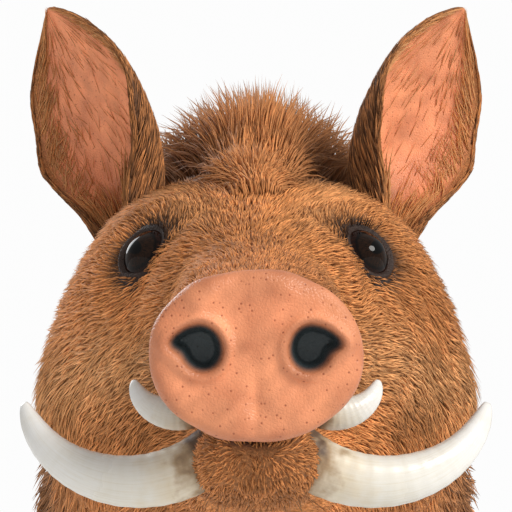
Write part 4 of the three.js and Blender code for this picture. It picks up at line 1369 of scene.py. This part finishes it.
def dewclaws(name):
    """The two dewclaws of one foot: blunt cones behind the pastern, pointing down, back and a little out,
    each narrow where it leaves the leg."""
    x0, y0 = leg_middle(name, HOOF_LEVEL)
    v = np.linspace(0, 1, 26)
    around = np.linspace(0, FULL_TURN, 28, endpoint=False)
    rounded = np.sqrt(np.maximum(1 - np.clip((v - 0.86) / 0.145, 0, 1) ** 2, 0.01))
    radius = (DEWCLAW["radius"] - CLEARANCE + (DEWCLAW["tip"] - DEWCLAW["radius"]) * v) * rounded
    radius = radius * (1 + 0.02 * np.sin(40 * v)) * (0.45 + 0.55 * ramp(0.0, 0.5, v))
    radius = radius * np.sqrt(1 - 0.97 * (1 - ramp(0.0, 0.2, v)) ** 3)
    sunk = 6.0 * (1 - v[:, None]) ** 1.5
    far = DEWCLAW["length"] / 2 - v * DEWCLAW["length"]  # from the root at the top to the tip
    upright = xyz(radius[:, None] * np.cos(around), far[:, None], radius[:, None] * np.sin(around) * 0.9)
    lean = np.array(Matrix.Rotation(math.radians(90 + DEWCLAW["lean"]), 3, "X"))
    bodies = []
    for way in SIDES:
        turn = np.array(Matrix.Rotation(way * math.radians(DEWCLAW["turn"]), 3, "Y"))
        rings = upright @ lean.T @ turn.T
        rings = rings + [x0 + way * DEWCLAW["x"], y0 + DEWCLAW["back"], DEWCLAW["z"]]
        bodies.append(outward(*tube(rings - xyz(way * sunk, 0.8 * sunk, 0))))
    return bodies


# ---------------------------------------------------------------- bristles, whiskers and lashes
mane_rise = curve([262, 0], [300, 18], [345, 50], [400, 80], [470, 86], [580, 76], [700, 58], [830, 36],
                  [970, 18], [1100, 4])
mane_half = curve([262, 24], [300, 38], [335, 43], [365, 52], [388, 70], [410, 94], [460, 112], [700, 98],
                  [940, 56], [1100, 22])
COUNTS = {"mane": 8000, "dock": 1800, "tuft": 620, "lash": 56, "brow": 7, "lip": 48, "chin": 90,
          "ear back": 4700, "ear hollow": 900, "ear fringe": 1000, "ear rim": 1500, "ear base": 620}


def arcs(root, bend, tip, at):
    """Middle lines from roots to tips, bent towards a third place: (1-t)^2 root + 2t(1-t) bend + t^2 tip."""
    t = at[None, :, None]
    return (1 - t) ** 2 * root[:, None] + 2 * t * (1 - t) * bend[:, None] + t**2 * tip[:, None]


def any_normal(line, rng):
    """A random direction across each hair, kept along its length."""
    count, stations, _ = line.shape
    turn = rng.uniform(0, FULL_TURN, count)
    flat = xyz(np.cos(turn), np.sin(turn), 0.2 * np.cos(3 * turn))
    way = unit(line[:, -1] - line[:, 0])
    flat = unit(flat - way * (flat * way).sum(-1, keepdims=True))
    return np.repeat(flat[:, None], stations, 1)


def stacked(parts):
    """Several sets of arrays as one: their first arrays end to end, their second ones, and so on."""
    return [np.concatenate(arrays) for arrays in zip(*parts)]


def mane():
    """The crest of bristles from brow to loin: each stands up from the top line, leans back and ends under
    a dome whose height and width follow the crest's own curves."""
    rng = np.random.default_rng(61)
    count = COUNTS["mane"]
    s = 250 + 760 * rng.random(count) ** 1.2
    e = powered(rng.uniform(-1, 1, count), 1.15)
    root = settle(xyz(e * mane_half(s) * 0.66, s, top_line(s) - 14 - 8 * e * e), 6)
    back = (16 + 52 * ramp(290, 430, s) - 22 * ramp(800, 1000, s)) * rng.uniform(0.6, 1.35, count)
    tip_s = s + back
    dome = (mane_rise(tip_s) + 22.5) * np.sqrt(1 - np.abs(e) ** 1.74) - 22.5 - 10 * ramp(850, 1040, tip_s)
    clump = 0.5 + 0.5 * wobble(root, 26, 62)
    dome = dome * (0.66 + 0.22 * clump + 0.12 * rng.random(count))
    flat = ramp(640, 960, s)
    dome = mix(np.maximum(dome, root[:, 2] + 6 - top_line(tip_s))[:, None], (dome - 5)[:, None], flat)[:, 0]
    tip = xyz(e * mane_half(tip_s) * 0.88 + 3 * rng.normal(size=count), tip_s, top_line(tip_s) + dome)
    tip = tip + 6 * xyz(wobble(root, 40, 63), wobble(root, 44, 64), 0)
    long = np.linalg.norm(tip - root, axis=-1)[:, None]
    normal = unit(distance_and_slope(root)[1])
    line = arcs(root - normal * 2, root + unit(normal + [0, 0.25, 0]) * long * 0.52, tip, STATIONS[4])
    chance = rng.random(count)
    front = 1 - ramp(330, 520, s)
    base = mix(PALETTE["mane"], 1.5 * PALETTE["back"], 0.7 * chance)
    # Towards the front the crest takes the face's warm colour, its tips brightened beyond it: partly a
    # marking, partly painted light against the shade between the ears.
    base = mix(base, 0.62 * PALETTE["face"], 0.85 * (1 - ramp(300, 440, s)))
    bleach = np.clip(0.02 + 0.22 * clump + 0.30 * (chance - 0.5), 0, 1)
    tips = mix(1.2 * PALETTE["back"], mix(PALETTE["straw"], PALETTE["face"], 0.4), bleach)
    tips = mix(tips, 1.25 * PALETTE["face"] + 0.02, (0.55 + 0.45 * chance) * front)
    beside = fur_tint(root + [0, 60, -60], 0 * s)
    aside = 0.8 * np.abs(e) ** 2.2 * (0.4 + 0.6 * chance)
    base, tips = mix(base, 0.5 * beside, aside), mix(tips, 1.4 * beside, aside)
    wide = rng.uniform(1.3, 2.3, count)
    made = blades("mane_bristles", line, any_normal(line, rng), wide, base, tips, body_chart(root), 61)
    return finish(made, HAIR)


def tail_middle(v):
    """The tail's own line, at shares of its length, and its direction there."""
    place = v * (len(TAIL_LINE) - 1)
    low = np.minimum(place.astype(int), len(TAIL_LINE) - 2)
    return mix(TAIL_LINE[low], TAIL_LINE[low + 1], place - low), unit(TAIL_LINE[low + 1] - TAIL_LINE[low])


def on_tail(v, turn, above):
    """Places round the tail: v along it, turn about its line, and the height above its skin. Also the
    directions out of it."""
    within = np.clip(v, 0, 1)
    middle, way = tail_middle(within)
    out = unit(xyz(np.cos(turn), 0, 0) + np.sin(turn)[:, None] * np.cross(way, [1.0, 0, 0]))
    middle = middle + way * (TAIL_LONG * (v - within))[:, None]
    return middle + out * (tail_radius(within) - TAIL_COAT + above)[:, None], out


def dock_hair(rng):
    """Short hair that runs down the tail's dock, as blades takes it."""
    count = COUNTS["dock"]
    v, turn = rng.uniform(-0.13, 0.72, count), rng.uniform(0, FULL_TURN, count)
    long, above = rng.uniform(0.07, 0.13, count), rng.uniform(1.0, 4.0, count)
    bend = rng.normal(0, 0.18, count)
    spots = [on_tail(v + long * t, turn + bend * t, above * t**0.8 - 1 + t) for t in STATIONS[3]]
    line, normal = (np.stack(rows, 1) for rows in zip(*spots))
    chance = rng.random(count)
    base = mix(PALETTE["mane"], PALETTE["back"], chance)
    tips = mix(0.6 * PALETTE["trunk"], 1.3 * PALETTE["trunk"], chance)
    tips = mix(tips, 1.6 * PALETTE["mane"], ramp(0.2, 0.7, v))
    return line, normal, rng.uniform(0.9, 1.6, count), base, tips, np.stack([turn / FULL_TURN, v], -1)


def tuft_hair(rng):
    """Bristles from the last part of the tail that hang past its end, as blades takes them."""
    count = COUNTS["tuft"]
    v, turn = rng.uniform(0.56, 1.0, count), rng.uniform(0, FULL_TURN, count)
    out = xyz(np.cos(turn), np.sin(turn), 0)
    root = tail_middle(v)[0] + out * (tail_radius(v) - TAIL_COAT - 1)[:, None]
    long = rng.uniform(38, 62, (count, 1))
    tip = root + np.array([0.02, -0.02, -1]) * long + out * rng.uniform(1, 7, (count, 1))
    line = arcs(root, root + out * 3.5 + [0, 0, -0.45] * long, tip, STATIONS[3])
    chance = rng.random(count)
    base = mix(PALETTE["leg"], PALETTE["mane"], chance)
    tips = mix(PALETTE["mane"], PALETTE["straw"], 0.35 * chance**2)
    normal = any_normal(line, rng)
    return line, normal, rng.uniform(1.2, 2.2, count), base, tips, np.stack([turn / FULL_TURN, v], -1)


def tail_bristles():
    """The tail's hair: short down the dock, and the tuft."""
    rng = np.random.default_rng(71)
    made = blades("tail_bristles", *stacked([dock_hair(rng), tuft_hair(rng)]), 71)
    return finish(made, HAIR)


def on_lids(side, nose, up, above):
    """Places over an eye, from millimetres along its ball towards the nose and up, and the height above it.
    Also the directions out of the eye."""
    turn = np.hypot(nose, up) / EYE["radius"]
    share = np.sinc(turn / math.pi) / EYE["radius"]
    out = (nose * share)[:, None] * NOSEWARD + (up * share)[:, None] * LIDWARD + np.cos(turn)[:, None] * GAZE
    mirror = [side, 1, 1]
    return (EYE_MIDDLE + out * (EYE["radius"] + above)[:, None]) * mirror, out * mirror


FEELERS = {"lash": {"sunk": 0.0, "bent": 0.55, "wide": 0.45, "pale": 0.10},
           "brow": {"sunk": 1.5, "bent": 0.5, "wide": 0.5, "pale": 0.4},
           "lip": {"sunk": 1.0, "bent": 0.45, "wide": 0.42, "pale": 0.5},
           "chin": {"sunk": 1.0, "bent": 0.5, "wide": 0.45, "pale": 0.6}}


def feelers():
    """Lashes on the upper lids, brow bristles over them, and whiskers on muzzle, lips and chin."""
    rng = np.random.default_rng(81)
    hairs = []

    def add(sort, start, out, long, first, second):
        """Keeps one sort: rooted under the skin, led the first way up to its bend, then the second way for
        0.6 of its length."""
        look = FEELERS[sort]
        bend = start + first * long * look["bent"]
        looks = (np.full(len(start), look[key]) for key in ("wide", "pale"))
        hairs.append((start - look["sunk"] * out, bend, bend + second * long * 0.6, *looks))

    for side in SIDES:
        lidward, count = LIDWARD * [side, 1, 1], COUNTS["lash"]
        nose = rng.uniform(-1, 1, count) * OPENING["half"] * 0.93
        rise = OPENING["above"] * (1 - (np.abs(nose) / OPENING["half"]) ** 1.75) ** (1 / 1.75)
        start, out = on_lids(side, nose, rise + rng.uniform(-0.2, 1.0, count), LID["thick"] - 0.4 + 0 * nose)
        fan = nose[:, None] / OPENING["half"] * NOSEWARD * [side, 1, 1]
        add("lash", start, out, rng.uniform(6, 10, (count, 1)), out - 0.25 * lidward,
            0.7 * out + 0.12 * lidward + 0.35 * fan)
        count = COUNTS["brow"]
        nose = rng.uniform(-1, 1, count) * 13.0
        start, out = on_lids(side, nose, rng.uniform(23, 31, count), 1 + 0 * nose)
        add("brow", settle(start, 4), out, rng.uniform(12, 20, (count, 1)), out * 0.6 + [0, -0.1, 0.15],
            out * 0.2 + [0, 0.5, 0.25])
        count = COUNTS["lip"]
        y = rng.uniform(28, 150, count)
        z = 600 + 24 * ramp(60, 85, y) + rng.uniform(0, 1, count) ** 1.3 * (16 + 0.2 * y)
        start = settle(xyz(side * (half_width(y) - 2), y, z), 8)
        start = start[(start[:, 2] > 632) | (start[:, 1] > 130)]  # none over the tusks
        out = unit(distance_and_slope(start)[1])
        add("lip", start, out, rng.uniform(12, 30, (len(start), 1)), out * 0.8 + [0, 0.25, -0.1],
            out * 0.35 + [0, 0.75, -0.25])
    count = COUNTS["chin"]
    y = rng.uniform(44, 240, count)
    x = rng.uniform(-0.95, 0.95, count) * JAW["half"](y)
    start = settle(xyz(x, y, JAW["under"](y) + 3), 8)
    out = unit(distance_and_slope(start)[1])
    long = rng.uniform(8, 30, (count, 1)) * (1 + 0.3 * ramp(120, 240, y))[:, None]
    aside = rng.normal(0, 0.35, (count, 3)) * [1, 1, 0.3]
    add("chin", start, out, long, out * 0.5 + [0, 0.45, 0] + 0.5 * aside, out * 0.2 + [0, 0.7, -0.3] + aside)
    root, bend, tip, wide, straw = stacked(hairs)
    line = arcs(root, bend, tip, STATIONS[4])
    dark = mix(PALETTE["black"], 0.3 * PALETTE["muzzle"], np.minimum(2 * straw, 1))
    tips = mix(dark * 1.5, PALETTE["straw"], straw * rng.random(len(root)))
    made = blades("whiskers", line, any_normal(line, rng), wide, dark, tips, body_chart(root), 81)
    finish(made, HAIR)


# ---------------------------------------------------------------- the ears' hair
# Each sort gives, for its hairs: v, turn and depth in the ear's wall at the root, how far each of them goes
# on along the hair, its width, and its root and tip colours.
def ear_back(rng):
    """Short dark hair up the ear's back, evenly spread, so that fewer stand where the ear is narrow."""
    count = COUNTS["ear back"]
    v, turn = rng.uniform(-0.04, 0.98, count), rng.uniform(-1.0, 1.0, count)
    keep = rng.random(count) < ear_arc(v) / 77
    v, turn = v[keep], turn[keep]
    count = len(v)
    chance = rng.random(count)
    shade = (0.75 + 0.5 * chance)[:, None]
    base = PALETTE["ear"] * 0.5 * shade
    tips = mix(PALETTE["ear"] * 1.6, PALETTE["face"] * 1.2, 0.7 * chance**1.5) * shade
    return (v, turn, np.full(count, 0.6), rng.uniform(0.06, 0.10, count), -turn * rng.uniform(0, 0.08, count),
            -rng.uniform(1.2, 2.6, count), rng.uniform(1.1, 1.8, count), base, tips)


def ear_hollow(rng):
    """Sparse down in the hollow, thicker towards its rims."""
    count = COUNTS["ear hollow"]
    v, turn = rng.uniform(0.02, 0.9, count), rng.uniform(-0.95, 0.95, count)
    keep = rng.random(count) < 0.25 + 0.75 * turn**2
    v, turn = v[keep], turn[keep]
    count = len(v)
    chance = rng.random(count)
    base = np.tile(PALETTE["face"] * 0.8, (count, 1))
    tips = mix(PALETTE["face"], PALETTE["straw"], chance)
    return (v, turn, ear_depth(v, turn) - 0.4, rng.uniform(0.06, 0.13, count), rng.normal(0, 0.05, count),
            rng.uniform(1.0, 3.0, count), rng.uniform(0.35, 0.7, count), base, tips)


def ear_fringe(rng):
    """A pale fringe that grows from the rims in over the hollow."""
    count = COUNTS["ear fringe"]
    v = rng.uniform(0.0, 0.93, count)
    edge = np.where(rng.random(count) < 0.6, -1.0, 1.0)
    turn = edge * rng.uniform(0.86, 1.0, count)
    chance = rng.random(count)
    base = mix(PALETTE["ear"], PALETTE["face"], chance)
    tips = mix(PALETTE["face"] * 1.2, PALETTE["straw"] * 1.1, chance)
    long = rng.uniform(0.35, 1.0, count) * (1 - 0.45 * v)
    return (v, turn, ear_thick(v) * 0.4, rng.uniform(0.10, 0.24, count) * long,
            -edge * rng.uniform(0.15, 0.5, count) * long, rng.uniform(3.0, 6.5, count) * long,
            rng.uniform(0.6, 1.2, count), base, tips)


def ear_rim(rng):
    """Hair along both rims, which follows their waves."""
    count = COUNTS["ear rim"]
    v = rng.uniform(-0.04, 0.97, count)
    edge = rng.choice([-1.0, 1.0], count)
    over = rng.uniform(-0.1, 1.0, count)
    rise = np.minimum(rng.uniform(0.04, 0.08, count), 1 - v)
    chance = rng.random(count)
    shade = rng.uniform(0.75, 1.25, count)[:, None]
    base = mix(PALETTE["ear"] * 0.6, PALETTE["ear"] * 1.1, chance) * shade
    tips = mix(PALETTE["ear"] * 1.4, PALETTE["face"] * 1.1, chance) * shade
    follow = edge * (ear_wave(v + rise) - ear_wave(v) + rng.uniform(-0.005, 0.02, count))
    turn = edge * (ear_wave(v) + 0.028 * np.sin(math.pi * np.maximum(over, 0)))
    return (v, turn, ear_thick(v) * 0.75 * over, rise, follow, rng.uniform(-0.6, 0.6, count),
            rng.uniform(0.9, 1.5, count), base, tips)


def ear_base(rng):
    """Tufts round the ear's base."""
    count = COUNTS["ear base"]
    v, turn = rng.uniform(-0.12, 0.10, count), rng.uniform(-1.05, 1.05, count)
    chance = rng.random(count)
    base = np.tile(PALETTE["face"] * 0.45, (count, 1))
    tips = mix(PALETTE["face"], PALETTE["straw"], 0.5 * chance)
    return (v, turn, ear_thick(v) * rng.uniform(0.8, 1.6, count), rng.uniform(0.10, 0.22, count),
            rng.normal(0, 0.08, count), rng.uniform(0.5, 3.5, count), rng.uniform(0.9, 1.4, count), base,
            tips)


def on_ear(side, v, turn, depth, rise, drift, sink, width, base, tips):
    """Hair of one sort on an ear, as blades takes it: from v, turn and depth it goes on by its rise and
    drift, and by its sink times the 0.8th power of the share along it."""
    t = STATIONS[3]
    up = v[:, None] + np.minimum(rise, 1 - v)[:, None] * t
    round_it = turn[:, None] + drift[:, None] * t
    deep = depth[:, None] + sink[:, None] * t**0.8
    line = ear_place(up, round_it, deep, side)
    normal = unit(ear_place(up, round_it, deep + np.sign(sink)[:, None], side) - line)
    chart = np.stack([0.5 * (turn + 1.3) / 2.6 + 0.5 * (depth > 1), v], -1)
    return line, normal, width, base, tips, chart


def ear_hair(side):
    """All the hair of one ear."""
    rng = np.random.default_rng(90 + side)
    sorts = [on_ear(side, *sort(rng)) for sort in (ear_back, ear_hollow, ear_fringe, ear_rim, ear_base)]
    finish(blades("ear_hair_" + SIDES[side], *stacked(sorts), 90 + side), HAIR)


# ---------------------------------------------------------------- putting it together
SKIN_NODES = ["head", "neck", "trunk", "rump", "lower_jaw", "snout_disc", "ear_left", "ear_right",
              "tail_dock"]
SKIN_NODES += [f"{name}_{part}_leg" for name in LEGS for part in ("upper", "lower")]

COATS = [  # name, nearest and furthest distance back, spacing of the roots, rings of a tuft
    ("muzzle", 14, 130, 1.75, 2), ("face", 130, 300, 2.3, 2), ("cheek", 300, 400, 3.1, 2),
    ("neck", 400, 600, 4.9, 3), ("flank", 600, 1430, 7.4, 3)]
LEG_SPACING = 3.8
THINNER = 1.0
PIECE_LIMIT = 185000  # the most triangles in one piece; triangles; the export thins out a piece of more than 200,000


def coat_pieces(name, root, spacing, rings, seed, chart):
    """A stretch of the coat, parted from front to back into pieces of no more than PIECE_LIMIT triangles
    each.
    """
    pieces = math.ceil(len(root) * (6 * rings - 2) / PIECE_LIMIT)
    root = root[np.argsort(root[:, 1], kind="stable")]
    for number, part in enumerate(np.array_split(root, pieces)):
        coat_piece(f"coat_{name}_{number + 1}", part, spacing, rings, seed + number, chart)


def in_ear(p):
    """Which points lie inside the wall of an ear."""
    v, turn, depth = ear_where(p)
    return (v > -0.05) & (np.abs(turn) < 1.04) & (depth > 0) & (depth < ear_thick(v)) & by_ears(p)


def on_legs(p):
    """The share of roots kept on the legs: all of them up to the knee, and fewer above it."""
    return (leg_share(p) >= 0.5) * (p[:, 2] > 47) * (1 - 0.38 * ramp(180, 340, p[:, 2]))


def coat(points, final, faces):
    """The whole coat over the skin, from the muzzle back, then the legs."""
    for number, (name, near, far, spacing, rings) in enumerate(COATS):
        def wanted(p):
            """The share of roots kept in this stretch, off the ears and legs."""
            return furred(p) * ~in_ear(p) * (p[:, 1] >= near) * (p[:, 1] < far) * (leg_share(p) < 0.5)
        mine = faces[(points[faces, 1].min(1) < far) & (points[faces, 1].max(1) > near)]
        rng = np.random.default_rng(100 + number)
        root = scattered(points, final, mine, spacing * THINNER, wanted, rng)
        coat_pieces(name, root, spacing, rings, 200 + 10 * number, body_chart)
    mine = faces[points[faces, 2].min(1) < 600]
    root = scattered(points, final, mine, LEG_SPACING * THINNER, on_legs, np.random.default_rng(190))
    coat_pieces("legs", root, LEG_SPACING, 2, 290, leg_chart)


def skin(points, faces):
    """The skin over all the flesh, with the ears, its colours and its material."""
    points, faces = with_ears(points, faces)
    made = new_object("skin", points, faces)
    tint, bare, drawn = skin_values(points)
    mark(made, "tint", opaque(tint))
    mark(made, "bare", bare)
    mark(made, "drawn", drawn)
    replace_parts(finish(made, skin_finish()), *SKIN_NODES)


def hard_parts():
    """Eyes, tusks, hooves and dewclaws, each in place of its own node."""
    eye, ivory, horn = eye_finish(), ivory_finish(), horn_finish()
    for side, word in SIDES.items():
        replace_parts(finish(eyeball(side), eye), f"eye_{word}")
        for which in TUSKS:
            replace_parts(finish(tusk(which, side), ivory), f"{which}_tusk_{word}")
    for name in LEGS:
        for part, bodies in (("hoof", claws(name)), ("dewclaw", dewclaws(name))):
            made = new_object(f"{name}_{part}_horn", *join(*bodies))
            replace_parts(finish(made, horn), f"{name}_inner_{part}", f"{name}_outer_{part}")


FLOOR = 60.0  # half the width of the floor, in metres
GLOW = {"lit": 0.48, "seen": 0.98}  # the backdrop's strength as a light, and before the camera
LAMPS = {  # which way each shines, its spread in degrees, its power and its colour
    "key lamp": ((-0.72, 0.62, -0.58), 24, 2.7, (1, 0.97, 0.92)),
    "back lamp": ((0.55, -0.75, -0.55), 30, 1.0, (0.96, 0.98, 1)),
}
CAMERA = {"ahead": 0.62, "high": 0.53, "look_up": 12.3, "lens": 104.1}  # metres, degrees and millimetres


def studio():
    """A pale floor and backdrop light, two soft lamps and the camera."""
    scene = bpy.context.scene
    corners = FLOOR / MM * np.array([[-1, -1, 0], [1, -1, 0], [1, 1, 0], [-1, 1, 0]])
    floor = new_object("floor", corners, np.array([[0, 1, 2, 3]]))
    pale = Finish("pale floor", {"Roughness": 0.9})
    cloudy = pale.noise(pale.place(), 1.3, 2.0)
    pale.wire({"Base Color": pale.ramp(cloudy, (0.3, 0.85), (0.7, (0.89, 0.89, 0.885)))})
    floor.data.materials.append(pale.made)
    world = bpy.data.worlds.new("studio")
    world.use_nodes = True
    tree = world.node_tree
    background = tree.nodes["Background"]
    path = tree.nodes.new("ShaderNodeLightPath")
    level = tree.nodes.new("ShaderNodeMapRange")
    level.inputs["To Min"].default_value = GLOW["lit"]
    level.inputs["To Max"].default_value = GLOW["seen"]
    tree.links.new(path.outputs["Is Camera Ray"], level.inputs["Value"])
    tree.links.new(level.outputs["Result"], background.inputs["Strength"])
    background.inputs["Color"].default_value = (1.0, 1.0, 1.0, 1)
    scene.world = world
    for name, (way, spread, power, colour) in LAMPS.items():
        lamp = bpy.data.lights.new(name, "SUN")
        lamp.energy, lamp.angle, lamp.color = power, math.radians(spread), colour
        made = bpy.data.objects.new(name, lamp)
        made.rotation_euler = Vector(way).to_track_quat("-Z", "Y").to_euler()
        scene.collection.objects.link(made)
    camera = bpy.data.cameras.new("camera")
    camera.lens, camera.sensor_width, camera.clip_start = CAMERA["lens"], 36.0, 0.02
    made = bpy.data.objects.new("camera", camera)
    made.location = (0, SHIFT * MM - CAMERA["ahead"], CAMERA["high"])
    made.rotation_euler = (math.radians(90 + CAMERA["look_up"]), 0, 0)
    scene.collection.objects.link(made)
    scene.camera = made
    scene.view_settings.view_transform = "Standard"


rest_points, rest_faces, final_points = skin_mesh()
skin(final_points, rest_faces)
hard_parts()
coat(rest_points, final_points, rest_faces)
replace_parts(mane(), "mane")
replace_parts(tail_bristles(), "tail_tuft")
feelers()
for ear_side in SIDES:
    ear_hair(ear_side)
studio()
